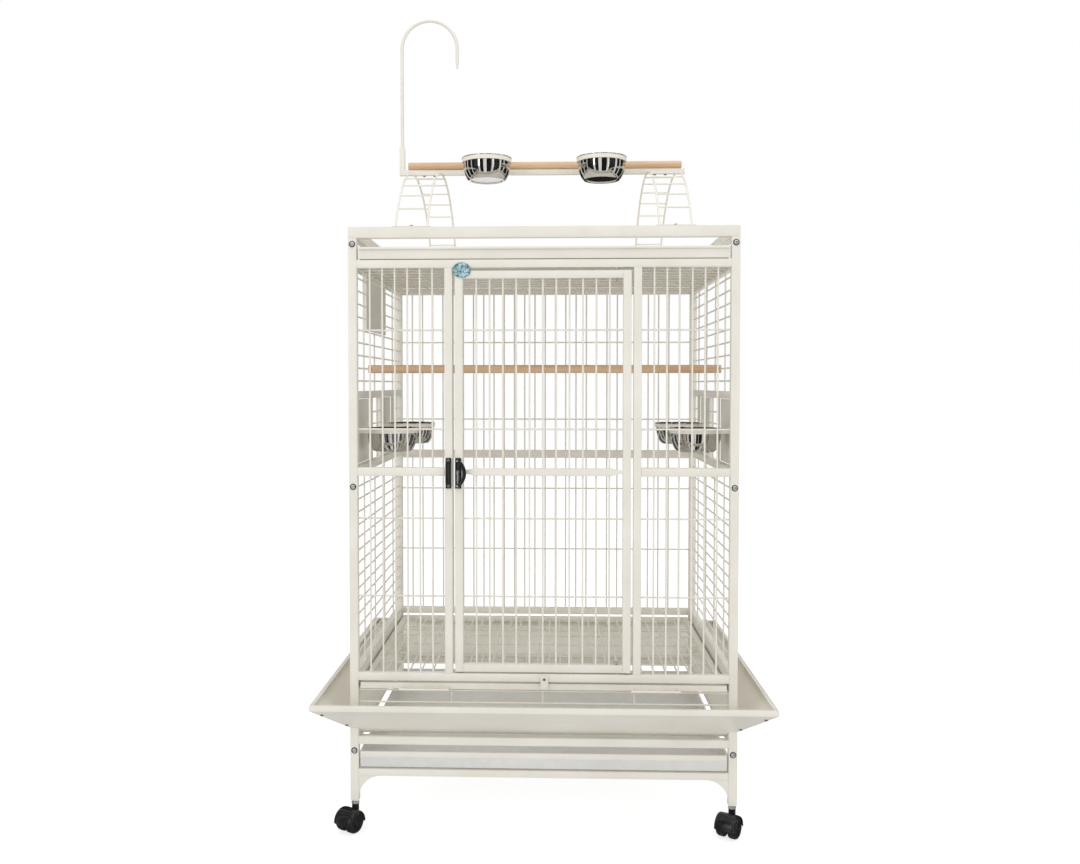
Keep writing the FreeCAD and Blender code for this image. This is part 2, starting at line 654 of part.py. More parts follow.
def seed_guard(name, axis, end):
    """A folded sheet that slopes up and out from behind the posts, mitred at its corners."""
    reach = HALF_DEPTH if axis == X else HALF_WIDTH
    other = HALF_WIDTH if axis == X else HALF_DEPTH
    foot = f"{end} * ({reach} - guard_tuck)"
    fold = f"{end} * ({reach} + guard_reach)"
    inner_fold = f"{end} * ({reach} + guard_reach - guard_sheet)"
    rise = "guard_sheet * 1.35"
    profile = [
        (foot, "guard_foot"),
        (fold, "guard_fold"),
        (fold, "guard_lip"),
        (f"{end} * ({reach} + guard_reach - 10)", "guard_lip"),
        (f"{end} * ({reach} + guard_reach - 10)", "guard_lip - guard_sheet"),
        (inner_fold, "guard_lip - guard_sheet"),
        (inner_fold, f"guard_fold + {rise}"),
        (foot, f"guard_foot + {rise}"),
    ]
    folded = plate(
        f"seed_guard_{name}_sheet", axis, f"-({other} + guard_reach)", f"{other} + guard_reach", profile
    )
    tucked = f"({other} - post_size - 0.5)"
    half_gap = "0.15"
    plan = [
        (f"-{tucked}", f"{end} * ({reach} - guard_tuck - {SLACK})"),
        (tucked, f"{end} * ({reach} - guard_tuck - {SLACK})"),
        (tucked, f"{end} * ({reach} + 0.3)"),
        (f"{other} - {half_gap}", f"{end} * ({reach} + 0.3)"),
        (f"{other} + guard_reach - {half_gap} + {SLACK}", f"{end} * ({reach} + guard_reach + {SLACK})"),
        (f"-({other} + guard_reach - {half_gap} + {SLACK})", f"{end} * ({reach} + guard_reach + {SLACK})"),
        (f"-({other} - {half_gap})", f"{end} * ({reach} + 0.3)"),
        (f"-{tucked}", f"{end} * ({reach} + 0.3)"),
    ]
    if axis == Y:
        plan = [(up, across) for across, up in plan]
    limits = plate(f"seed_guard_{name}_limits", Z, "guard_foot - 5", "guard_lip + 5", plan)
    return common(f"seed_guard_{name}", folded, limits)


def domed_bolt(label, centre, rotation, radius=6.0, height=4.0):
    """A domed bolt head on a washer, standing along its own +Z from a face."""
    washer = 1.0
    corners = [
        ("0", "0"),
        (radius * 1.25, "0"),
        (radius * 1.25, washer),
        (radius, washer),
        (radius, washer + height * 0.3),
        (radius * 0.55, washer + height),
        ("0", washer + height),
    ]
    return turned(label, corners, centre, rotation)


FACING = {
    (Y, -1): Rotation(Vector(1, 0, 0), 90),
    (Y, 1): Rotation(Vector(1, 0, 0), -90),
    (X, -1): Rotation(Vector(0, 1, 0), -90),
    (X, 1): Rotation(Vector(0, 1, 0), 90),
    (Z, 1): Rotation(),
    (Z, -1): Rotation(Vector(1, 0, 0), 180),
}


def frame_bolts():
    """Bolts through the posts, front and back, that hold the cage's panels together."""
    bolts = []
    for end in (-1, 1):
        for side in (-1, 1):
            for height in BOLT_HEIGHTS:
                centre = (f"{side} * (body_width - post_size) / 2", f"{end} * {HALF_DEPTH}", height)
                bolts.append(domed_bolt(f"frame_bolt_{len(bolts) + 1}", centre, FACING[(Y, end)]))
    return group("frame_bolts", bolts)


def small_screws():
    """Screws of the seed guard's corners, the ladders' feet, the perch tube and the latch's strike."""
    screws = []

    def screw(centre, rotation, radius, height):
        screws.append(domed_bolt(f"screw_{len(screws) + 1}", centre, rotation, radius, height))

    slope = math.degrees(
        math.atan2(SIZE["guard_fold"] - SIZE["guard_foot"], SIZE["guard_reach"] + SIZE["guard_tuck"])
    )
    rise = "(guard_fold - guard_foot) / (guard_reach + guard_tuck)"
    for end in (-1, 1):
        for side in (-1, 1):
            for out in (14, 62):
                centre = (
                    f"{side} * ({HALF_WIDTH} + {out} - 9)",
                    f"{end} * ({HALF_DEPTH} + {out})",
                    f"guard_foot + ({out} + guard_tuck) * {rise}",
                )
                screw(centre, Rotation(Vector(1, 0, 0), -end * (180 - slope)), 3.2, 2.0)
    for side in (-1, 1):
        for end in (-1, 1):
            centre = (
                f"{side} * (ladder_inner + ladder_outer) / 2",
                f"{end} * (body_depth - post_size) / 2",
                "rim_top + 2",
            )
            screw(centre, FACING[(Z, 1)], 4.0, 2.5)
        for offset in (-14, 14):
            centre = (f"{side} * (ladder_inner + ladder_outer) / 2 + {offset}", "0", "perch_tube_foot")
            screw(centre, FACING[(Z, -1)], 4.0, 3.5)
    for height in ("latch_foot + 6", "latch_foot + latch_height - 6"):
        screw(
            (f"-(doorway_half + jamb_width / 2)", f"-{HALF_DEPTH} - 3", height), FACING[(Y, -1)], 3.0, 1.5
        )
    return group("small_screws", screws)


# ---------------------------------------------------------------- door

DOOR_LEFT = "-(doorway_half - door_gap)"
DOOR_RIGHT = "(doorway_half - door_gap)"
DOOR_PLANE = f"-({HALF_DEPTH} - rail_depth / 2)"


def door_frame():
    """Two stiles and two rails of tube, drilled for the pivot pins, and a middle rail with tapered ends."""
    front, back = f"-{HALF_DEPTH}", f"-{RAIL_DEPTH}"
    pieces = [
        tube(
            "door_left_stile",
            Z,
            (DOOR_LEFT, front, "door_foot"),
            (f"{DOOR_LEFT} + door_stile", back, "door_top"),
        ),
        tube(
            "door_right_stile",
            Z,
            (f"{DOOR_RIGHT} - door_stile", front, "door_foot"),
            (DOOR_RIGHT, back, "door_top"),
        ),
    ]
    inner = (f"{DOOR_LEFT} + door_stile", f"{DOOR_RIGHT} - door_stile")
    for name, low, high in (
        ("bottom", "door_foot", "door_foot + door_rail"),
        ("top", "door_top - door_rail", "door_top"),
    ):
        rail = tube(f"door_{name}_rail_tube", X, (inner[0], front, low), (inner[1], back, high))
        start = ("door_axis", DOOR_PLANE, f"({low}) - {SLACK}")
        drill = rod(
            f"door_{name}_drill", Z, start, f"door_rail + 2 * {SLACK}", "pivot_pin + 2 * running_gap"
        )
        pieces.append(cut(f"door_{name}_rail", rail, drill))
    middle = "(middle_rail + middle_rail_top) / 2"
    taper = [
        (inner[0], f"{middle} - 3"),
        (f"{inner[0]} + 28", f"{middle} - 9"),
        (f"{inner[1]} - 28", f"{middle} - 9"),
        (inner[1], f"{middle} - 3"),
        (inner[1], f"{middle} + 3"),
        (f"{inner[1]} - 28", f"{middle} + 9"),
        (f"{inner[0]} + 28", f"{middle} + 9"),
        (inner[0], f"{middle} + 3"),
    ]
    pieces.append(
        plate("door_middle_rail", Y, f"-{HALF_DEPTH} + 0.5", f"{DOOR_PLANE} - wire_size / 2", taper)
    )
    return group("door_frame", pieces)


def door_bars():
    ends = (
        f"{DOOR_LEFT} + door_stile",
        f"{DOOR_RIGHT} - door_stile",
        "door_foot + door_rail",
        "door_top - door_rail",
    )
    return bar_panel(
        "door_bars", *ends, BAR_COUNTS["door"], DOOR_PLANE, TIE_HEIGHTS["lower"] + TIE_HEIGHTS["upper"], 1
    )


def hexagon_nut(label, centre, across, height, bore):
    prism = doc.addObject("Part::Prism", f"{label}_hexagon")
    prism.Polygon = 6
    bind(prism, Circumradius=f"({across}) / sqrt(3)", Height=height)
    place(prism, centre)
    return cut(label, prism, rod(f"{label}_bore", Z, centre, height, bore))


def door_pins():
    """A shouldered pin and nut at the top and at the bottom of the door."""
    pieces = []
    for name, seat, direction in (("bottom", "floor_rail_top", 1), ("top", "ceiling_rail", -1)):
        tip = f"{direction} * (door_foot - floor_rail_top + door_rail + 6)"
        if direction < 0:
            tip = "-(ceiling_rail - door_top + door_rail + 6)"
        collar = f"{direction} * 3"
        corners = [
            ("0", "0"),
            ("6.5", "0"),
            ("6.5", collar),
            ("pivot_pin / 2", collar),
            ("pivot_pin / 2", tip),
            ("0", tip),
        ]
        pieces.append(turned(f"door_{name}_pin", corners, ("door_axis", DOOR_PLANE, seat)))
        low = "door_foot + door_rail + 0.5" if direction > 0 else "door_top - door_rail - 4.5"
        pieces.append(
            hexagon_nut(f"door_{name}_nut", ("door_axis", DOOR_PLANE, low), "10", "4", "pivot_pin")
        )
    return pieces


def latch_housing():
    """The black latch on the door's left stile: a back plate, a curved guard and two ears for the lever."""
    left = f"{DOOR_LEFT} + 1"
    foot, top = "latch_foot", "latch_foot + latch_height"
    front = f"-{HALF_DEPTH}"
    base = plate(
        "latch_base",
        Y,
        f"{front} - 3",
        front,
        [(left, foot), (f"{left} + 14", foot), (f"{left} + 14", top), (left, top)],
    )
    middle = "latch_foot + latch_height / 2"
    outside = rod("latch_guard_outside", Y, (f"{left} - 12", f"{front} - 15", middle), "12", "77")
    inside = rod(
        "latch_guard_inside",
        Y,
        (f"{left} - 12", f"{front} - 15 - {SLACK}", middle),
        f"12 + 2 * {SLACK}",
        "61",
    )
    ring = cut("latch_guard_ring", outside, inside)
    window = block(
        "latch_guard_window", (f"{left} + 2", f"{front} - 15", foot), (f"{left} + 40", f"{front} - 3", top)
    )
    sector = common("latch_guard_sector", ring, window)
    path = block(
        "latch_lever_path",
        (left, f"{front} - 16", f"{foot} - 1"),
        (f"{left} + 12.5", f"{front} - 3", middle),
    )
    pieces = [base, cut("latch_guard", sector, path)]
    for number, offset in enumerate((2, 10.3), start=1):
        low = (f"{left} + {offset}", f"{front} - 9", "latch_foot + 38")
        pieces.append(
            block(
                f"latch_ear_{number}", low, (f"{left} + {offset} + 1.7", f"{front} - 3", "latch_foot + 46")
            )
        )
    pin_start = (f"{left} + 2", f"{front} - 6", "latch_foot + 42")
    pieces.append(rod("latch_pin", X, pin_start, "9", "2"))
    return weld("latch_housing", pieces)


def latch_lever():
    """The bright lever between the latch's ears. It hangs from a level pin at its top."""
    left = f"{DOOR_LEFT} + 5"
    front = f"-{HALF_DEPTH}"
    corners = [
        (f"{front} - 3.6", "latch_foot + 43.4"),
        (f"{front} - 3.6", "latch_foot + 14"),
        (f"{front} - 6", "latch_foot + 4"),
        (f"{front} - 10", "latch_foot"),
        (f"{front} - 12", "latch_foot + 1"),
        (f"{front} - 9", "latch_foot + 14"),
        (f"{front} - 8.2", "latch_foot + 43.4"),
    ]
    blade = plate("latch_blade", X, left, f"{left} + 6", corners)
    start = (f"{left} - {SLACK}", f"{front} - 6", "latch_foot + 42")
    return cut(
        "latch_lever", blade, rod("latch_blade_drill", X, start, f"6 + 2 * {SLACK}", "2 + 2 * running_gap")
    )


def strike_plate():
    """The black strike on the left jamb: a plate with a raised middle."""
    centre = "-(doorway_half + jamb_width / 2)"
    front = f"-{HALF_DEPTH}"
    top = "latch_foot + latch_height"
    back = [
        (f"{centre} - 6.5", "latch_foot"),
        (f"{centre} + 6.5", "latch_foot"),
        (f"{centre} + 6.5", top),
        (f"{centre} - 6.5", top),
    ]
    raised = (
        f"{centre} - 6.5", f"{front} - 9", "latch_foot + 12"
    ), (f"{centre} + 6.5", f"{front} - 3", f"{top} - 12")
    return weld(
        "strike_plate",
        [plate("strike_back", Y, f"{front} - 3", front, back), block("strike_middle", *raised)],
    )


def badge():
    """A plain oval badge on the door's top left corner, held by one rivet."""
    oval = doc.addObject("Part::Ellipse", "badge_oval")
    oval.MajorRadius = 21.5
    oval.MinorRadius = 18.5
    place(oval, ("-189.5", f"-{HALF_DEPTH} - 0.4", "door_top + 1"), Rotation(Vector(1, 0, 0), 90))
    disc = doc.addObject("Part::Extrusion", "badge_disc")
    disc.Base = oval
    disc.DirMode = "Custom"
    disc.Dir = Vector(0, -1, 0)
    disc.LengthFwd = 2.5
    disc.Solid = True
    rivet = rod("badge_rivet", Y, ("-197", f"-{HALF_DEPTH} - 1", "door_top - 9"), "1", "5")
    return weld("badge", [disc, rivet])


# ---------------------------------------------------------------- side doors and bowls

def hinge_line(side):
    """The X of the small doors' hinge pins and plates, just outside the side bars."""
    return f"{side} * ({HALF_WIDTH} - 3.5)"


def small_door(label, side, start, end, low, high, hinge_y):
    """A sheet door with rolled barrels around its hinge pin and a stiffening fold on its free edge."""
    line = hinge_line(side)
    skin_low, skin_high = f"{line} - sheet / 2", f"{line} + sheet / 2"
    sheet_part = block(f"{label}_sheet", (skin_low, start, low), (skin_high, end, high))
    bore = "hinge_wire + 2 * running_gap"
    barrels = []
    for number in (1, 2):
        seat = f"({low}) + 8" if number == 1 else f"({high}) - 38"
        outside = rod(f"{label}_barrel_{number}", Z, (line, hinge_y, seat), "30", "7")
        barrels.append(outside)
    solid = weld(f"{label}_solid", [sheet_part] + barrels)
    drill = rod(
        f"{label}_drill",
        Z,
        (line, hinge_y, f"({low}) - {SLACK}"),
        f"({high}) - ({low}) + 2 * {SLACK}",
        bore,
    )
    return cut(f"{label}_leaf", solid, drill)


def bowl_ring(label, centre_x, centre_y, rim):
    """The flat ring that a bowl's rim rests on."""
    low = f"{rim} - 3 - ring_height"
    outside = rod(f"{label}_outside", Z, (centre_x, centre_y, low), "ring_height", "2 * ring_outside")
    inside = rod(
        f"{label}_inside",
        Z,
        (centre_x, centre_y, f"{low} - {SLACK}"),
        f"ring_height + 2 * {SLACK}",
        "2 * ring_inside",
    )
    return cut(label, outside, inside)


def feeder_door(name, side, opening):
    """A feeder door: its leaf carries a ring for a bowl on two arms."""
    start, end = f"{opening[0]} + 6", f"{opening[1]} - 1.5"
    low, high = "middle_rail_top + 2", "feeder_rail - 2"
    leaf = small_door(f"feeder_door_{name}", side, start, end, low, high, f"{opening[0]} + 4")
    centre_x, centre_y = f"{side} * feeder_bowl_offset", f"({opening[0]} + {opening[1]}) / 2"
    ring = bowl_ring(f"feeder_ring_{name}", centre_x, centre_y, "feeder_bowl_rim")
    arms = []
    arm_low = "feeder_bowl_rim - 3 - ring_height"
    for number, offset in enumerate((-40, 40), start=1):
        inner, outer = f"{side} * (feeder_bowl_offset + 50.5)", hinge_line(side)
        corner_low = (inner if side > 0 else outer, f"{centre_y} + {offset} - 2", arm_low)
        corner_high = (
            outer if side > 0 else inner, f"{centre_y} + {offset} + 2", f"{arm_low} + ring_height"
        )
        arms.append(block(f"feeder_arm_{name}_{number}", corner_low, corner_high))
    return weld(f"feeder_door_{name}", [leaf, ring] + arms)


def bowl(label, centre_x, centre_y, rim):
    """A pressed steel bowl with a rolled rim, turned in one piece."""
    wall = 0.8
    corners = [
        ("0", "3 - bowl_height"),
        ("bowl_base - 8", "3 - bowl_height"),
        ("bowl_base - 1", "6 - bowl_height"),
        ("bowl_base + 5", "14 - bowl_height"),
        ("bowl_body - 2", "-bowl_height / 2"),
        ("bowl_body", "0"),
        ("bowl_rim", "0"),
        ("bowl_rim", "3"),
        (f"bowl_body - {wall}", "3"),
        (f"bowl_body - 2 - {wall}", "-bowl_height / 2"),
        (f"bowl_base + 5 - {wall}", "14 - bowl_height"),
        (f"bowl_base - 1 - {wall}", f"6 + {wall} - bowl_height"),
        ("bowl_base - 8", f"3 + {wall} - bowl_height"),
        ("0", f"3 + {wall} - bowl_height"),
    ]
    return turned(label, corners, (centre_x, centre_y, f"{rim} - 3"))


def small_pins():
    """Upright hinge pins of the feeder doors and of the nest door."""
    pins = []
    for side in (-1, 1):
        for opening in side_openings():
            start = (hinge_line(side), f"{opening[0]} + 4", "middle_rail_top")
            pins.append(
                rod(f"feeder_pin_{len(pins) + 1}", Z, start, "feeder_rail - middle_rail_top", "hinge_wire")
            )
    start = (hinge_line(-1), f"nest_front - {HALF_DEPTH} + 4", "nest_sill")
    pins.append(rod("nest_pin", Z, start, "ceiling_rail - nest_sill", "hinge_wire"))
    return pins


def nest_latch_pivot():
    """The outside of the nest door, and the Y and Z of its turn button's stud."""
    line = f"-({HALF_WIDTH} - 3.5) - sheet / 2"
    return line, f"nest_front + nest_width - {HALF_DEPTH} - 26", "nest_sill + 36"


def nest_door():
    """The solid door over the nest-box opening, in the upper left side."""
    start, end = f"nest_front - {HALF_DEPTH} + 6", f"nest_front + nest_width - {HALF_DEPTH} - 1.5"
    leaf = small_door(
        "nest_door", -1, start, end, "nest_sill + 2", "ceiling_rail - 2", f"nest_front - {HALF_DEPTH} + 4"
    )
    line, pivot_y, height = nest_latch_pivot()
    return weld(
        "nest_door", [leaf, rod("nest_latch_stud", X, (f"{line} - 5.5", pivot_y, height), "6", "4")]
    )


def nest_latch():
    """A turn button with a grip near the nest door's free edge."""
    line, pivot_y, height = nest_latch_pivot()
    arm_low = (f"{line} - 2.3", f"{pivot_y} - 6", f"{height} - 22")
    arm = block("nest_latch_arm", arm_low, (f"{line} - 0.3", f"{pivot_y} + 6", f"{height} + 22"))
    grip = rod("nest_latch_grip", X, (f"{line} - 6.3", pivot_y, height), "6", "14")
    drill = rod("nest_latch_drill", X, (f"{line} - 7.3", pivot_y, height), "8", "4 + 2 * running_gap")
    return cut("nest_latch", weld("nest_latch_button", [arm, grip]), drill)


# ---------------------------------------------------------------- grate and trays

def grate_frame():
    """The four tubes around the grate."""
    low, high = "grate_underside", "grate_underside + grate_height"
    side_wall = "(grate_half - grate_height)"
    front_inner, back_inner = "-(slide_front - grate_height)", "(slide_back - grate_height)"
    return [
        tube("grate_front", X, ("-grate_half", "-slide_front", low), ("grate_half", front_inner, high)),
        tube("grate_back", X, ("-grate_half", back_inner, low), ("grate_half", "slide_back", high)),
        tube("grate_left", Y, ("-grate_half", front_inner, low), (f"-{side_wall}", back_inner, high)),
        tube("grate_right", Y, (side_wall, front_inner, low), ("grate_half", back_inner, high)),
    ]


def grate_wires():
    count, cross_count = BAR_COUNTS["grate"], BAR_COUNTS["grate_cross"]
    side_wall = "(grate_half - grate_height)"
    start_y, length = "-(slide_front - grate_height)", "slide_front + slide_back - 2 * grate_height"
    pitch = f"2 * {side_wall} / {count + 1}"
    height = "grate_underside + grate_height / 2 + 1"
    rods = row_of_rods(
        "grate_bar", Y, (f"-{side_wall} + {pitch}", start_y, height), X, pitch, count, length
    )
    cross_pitch = f"({length}) / {cross_count + 1}"
    start = (f"-{side_wall}", f"{start_y} + {cross_pitch}", f"{height} - weld_sink * wire_size")
    rods += row_of_rods("grate_cross", X, start, Y, cross_pitch, cross_count, f"2 * {side_wall}")
    return weld("grate_wires", rods)


def grate_handles():
    """Two long wire pulls on the front of the grate, and the small tongue between them for the tab."""
    pulls = []
    height = "grate_underside + 4"
    for name, left, right in (("left", -332, -225), ("right", 211, 318)):
        legs = [
            rod(
                f"pull_{name}_leg_{x}", Y, (x, "-slide_front - 22", height), "22", "4.4"
            ) for x in (left, right)
        ]
        grip = rod(f"pull_{name}_grip", X, (left - 5, "-slide_front - 22", height), right - left + 10, "5")
        pulls.append(weld(f"pull_{name}", legs + [grip]))
    low = ("-3", f"-{HALF_DEPTH} - 1.5", "grate_underside + 6")
    tongue = block("tab_tongue", low, ("11", f"-{HALF_DEPTH} - 0.3", "grate_underside + 32"))
    foot = block(
        "tab_foot",
        ("-3", f"-{HALF_DEPTH} - 1.5", "grate_underside + 6"),
        ("11", "-slide_front", "grate_underside + 10"),
    )
    stud = rod("tab_stud", Y, ("4", f"-{HALF_DEPTH} - 4.2", "grate_underside + 26"), "3.2", "4")
    pulls.append(weld("tab_bracket", [tongue, foot, stud]))
    return group("grate_handles", pulls)


def grate_tab():
    """The turning tab in the middle of the grate's front."""
    low = ("-5", f"-{HALF_DEPTH} - 3.6", "grate_underside + 3")
    tab = block("grate_tab_plate", low, ("13", f"-{HALF_DEPTH} - 1.8", "grate_underside + 36"))
    start = ("4", f"-{HALF_DEPTH} - 5", "grate_underside + 26")
    return cut("grate_tab", tab, rod("grate_tab_drill", Y, start, "5", "4 + 2 * running_gap"))


def open_tray(label, low, high, lip):
    """A folded sheet tray with an open top and a rolled lip along its front."""
    inner = "(tray_half - sheet)"
    outside = block(
        f"{label}_outside", ("-tray_half", "-slide_front", low), ("tray_half", "slide_back", high)
    )
    inside_low = (f"-{inner}", "-slide_front + sheet", f"{low} + sheet")
    inside = block(f"{label}_inside", inside_low, (inner, "slide_back - sheet", f"{high} + {SLACK}"))
    pan = cut(f"{label}_pan", outside, inside)
    roll = rod(
        f"{label}_roll",
        X,
        ("-tray_half", f"-slide_front + {lip} / 2", f"{high} - {lip} / 2"),
        "2 * tray_half",
        lip,
    )
    return weld(label, [pan, roll])


# ---------------------------------------------------------------- play top

def ladder(name, side):
    """An arched ladder from the front rim to the back rim, on two foot plates."""
    radius, apex = SIZE["ladder_radius"], SIZE["ladder_apex"]
    rail_line = (SIZE["body_depth"] - SIZE["post_size"]) / 2
    half_angle = math.degrees(math.asin(rail_line / radius))
    centre_z = "ladder_apex - ladder_radius"
    pieces = []
    for place_name, line in (("inner", "ladder_inner"), ("outer", "ladder_outer")):
        arch = doc.addObject("Part::Torus", f"ladder_{name}_{place_name}_wire")
        bind(arch, Radius1="ladder_radius", Radius2="ladder_wire / 2")
        arch.Angle3 = 2 * half_angle
        turn = Rotation(Vector(0, 1, 0), 90).multiply(Rotation(Vector(0, 0, 1), 180 - half_angle))
        place(arch, (f"{side} * {line}", "0", centre_z), turn)
        pieces.append(arch)
    count = BAR_COUNTS["ladder_half_rungs"]
    left = "-ladder_outer" if side < 0 else "ladder_inner"
    for end in (-1, 1):
        for number in range(count):
            angle = f"({number} + 0.5) * rung_step"
            start = (
                left,
                f"{end} * ladder_radius * sin({angle} * 1deg)",
                f"{centre_z} + ladder_radius * cos({angle} * 1deg)",
            )
            pieces.append(
                rod(
                    f"ladder_{name}_rung_{end + 2}_{number + 1}",
                    X,
                    start,
                    "ladder_outer - ladder_inner",
                    "rung_wire",
                )
            )
        middle = f"{side} * (ladder_inner + ladder_outer) / 2"
        line_y = f"{end} * (body_depth - post_size) / 2"
        low = (f"{middle} - 46", f"{line_y} - 9", "rim_top")
        pieces.append(
            block(f"ladder_{name}_foot_{end + 2}", low, (f"{middle} + 46", f"{line_y} + 9", "rim_top + 2"))
        )
    foot_drop = apex - radius + radius * math.cos(math.radians(half_angle)) - SIZE["rim_top"]
    if not -SIZE["ladder_wire"] < foot_drop < SIZE["ladder_wire"]:
        raise ValueError("the ladder's arch doesn't meet the rim")
    fused = weld(f"ladder_{name}_whole", pieces)
    above_low = (f"{side} * (ladder_inner + ladder_outer) / 2 - 60", f"-{HALF_DEPTH}", "rim_top")
    above_high = (f"{side} * (ladder_inner + ladder_outer) / 2 + 60", HALF_DEPTH, "ladder_apex + 20")
    return common(f"ladder_{name}", fused, block(f"ladder_{name}_above_rim", above_low, above_high))


def perch_rail():
    """The tube under the top perch, with the toy hook's upright socket on its left end."""
    half = "perch_tube / 2"
    foot, top = "perch_tube_foot", "perch_tube_foot + perch_tube"
    rail = tube(
        "perch_rail_tube",
        X,
        ("-perch_tube_left + perch_tube", f"-{half}", foot),
        ("perch_tube_right", half, top),
    )
    centre = "-perch_tube_left + perch_tube / 2"
    socket = block(
        "hook_socket_block",
        ("-perch_tube_left", f"-{half}", foot),
        ("-perch_tube_left + perch_tube", half, "socket_top"),
    )
    start = (centre, "0", f"{foot} + 10")
    bore = rod("hook_socket_bore", Z, start, f"socket_top - ({foot})", "hook_wire + 2 * running_gap")
    return weld("perch_rail", [rail, cut("hook_socket", socket, bore)])


def top_bowl_rings():
    """Two rings, each on a bracket that is welded to the front of the perch's tube."""
    pieces = []
    for number, side in enumerate((-1, 1), start=1):
        centre_x = f"{side} * top_bowl_offset"
        ring = bowl_ring(f"top_ring_{number}_band", centre_x, "-top_bowl_front", "top_bowl_rim")
        low = (f"{centre_x} - 15", "-top_bowl_front + 58", "top_bowl_rim - 13")
        arm = block(
            f"top_ring_{number}_arm",
            low,
            (f"{centre_x} + 15", "-perch_size / 2 - 0.5", "top_bowl_rim - 3"),
        )
        foot = (f"{centre_x} - 15", "-perch_size / 2 - 2.5", "perch_tube_foot + 1")
        upright = block(
            f"top_ring_{number}_upright",
            foot,
            (f"{centre_x} + 15", "-perch_tube / 2", "perch_tube_foot + perch_tube"),
        )
        start = (centre_x, "-top_bowl_front", "top_bowl_rim - 14")
        hollow = rod(f"top_ring_{number}_hollow", Z, start, "12", "2 * ring_inside")
        bracket = cut(f"top_ring_{number}_bracket", arm, hollow)
        pieces.append(weld(f"top_ring_{number}", [ring, bracket, upright]))
    return group("top_bowl_rings", pieces)


def top_perch():
    """A wooden dowel that lies along its tube."""
    start = ("-perch_half", "0", "perch_tube_foot + perch_tube + perch_size / 2")
    return rod("top_perch", X, start, "2 * perch_half", "perch_size")


def inside_perch():
    """A wooden perch whose notched ends sit over level bars of the side panels."""
    reach = f"({HALF_WIDTH} - 5)"
    dowel = rod(
        "inside_perch_dowel",
        X,
        (f"-{reach}", "-inside_perch_depth", "inside_perch_height"),
        f"2 * {reach}",
        "perch_size",
    )
    notches = []
    half = "(wire_size / 2 + 0.3)"
    for name, low, high in (
        ("left", f"-{reach} - {SLACK}", f"-{reach} + 11"), ("right", f"{reach} - 11", f"{reach} + {SLACK}")
    ):
        low_corner = (low, "-inside_perch_depth - perch_size", f"inside_perch_height - {half}")
        notches.append(
            block(
                f"perch_notch_{name}",
                low_corner,
                (high, "-inside_perch_depth + perch_size", f"inside_perch_height + {half}"),
            )
        )
    return cut("inside_perch", dowel, group("perch_notches", notches))


def toy_hook():
    """A round rod that stands in the socket and bends over into a hook with a slim tip."""
    line = "-perch_tube_left + perch_tube / 2"
    foot = "perch_tube_foot + 11"
    leg = rod("toy_hook_leg", Z, (line, "0", foot), f"hook_centre - ({foot})", "hook_wire")
    bend = doc.addObject("Part::Torus", "toy_hook_bend")
    bind(bend, Radius1="hook_radius", Radius2="hook_wire / 2")
    bend.Angle3 = 180
    place(bend, (f"{line} + hook_radius", "0", "hook_centre"), Rotation(Vector(1, 0, 0), 90))
    end_line = f"{line} + 2 * hook_radius"
    drop = rod("toy_hook_drop", Z, (end_line, "0", "hook_centre - 32"), "32", "hook_wire")
    tip = doc.addObject("Part::Cone", "toy_hook_tip")
    bind(tip, Radius1="2", Radius2="hook_wire / 2", Height="22")
    place(tip, (end_line, "0", "hook_centre - 54"))
    return weld("toy_hook", [leg, bend, drop, tip])


# ---------------------------------------------------------------- casters

def caster_line(side, end):
    """A caster's swivel axis, as formulas of X and Y."""
    return f"{side} * (body_width - post_size) / 2", f"{end} * (body_depth - post_size) / 2"


def caster_sockets():
    """Plastic inserts in the posts' lower ends, bored for the caster stems."""
    sockets = []
    half = "(post_size / 2 - tube_wall)"
    for side in (-1, 1):
        for end in (-1, 1):
            x, y = caster_line(side, end)
            number = len(sockets) + 1
            outside = block(
                f"socket_{number}_block",
                (f"{x} - {half}", f"{y} - {half}", "post_foot"),
                (f"{x} + {half}", f"{y} + {half}", "post_foot + 40"),
            )
            bore = rod(
                f"socket_{number}_bore",
                Z,
                (x, y, f"post_foot - {SLACK}"),
                f"40 + 2 * {SLACK}",
                "stem_size + 2 * running_gap",
            )
            sockets.append(cut(f"socket_{number}", outside, bore))
    return group("caster_sockets", sockets)


def turned_caster(item, side, end):
    """Move an item modelled around the swivel axis to its own corner, turned as the casters stand."""
    x, y = caster_line(side, end)
    return place(item, (x, y, "0"), Rotation(Vector(0, 0, 1), SIZE["caster_turn"]))


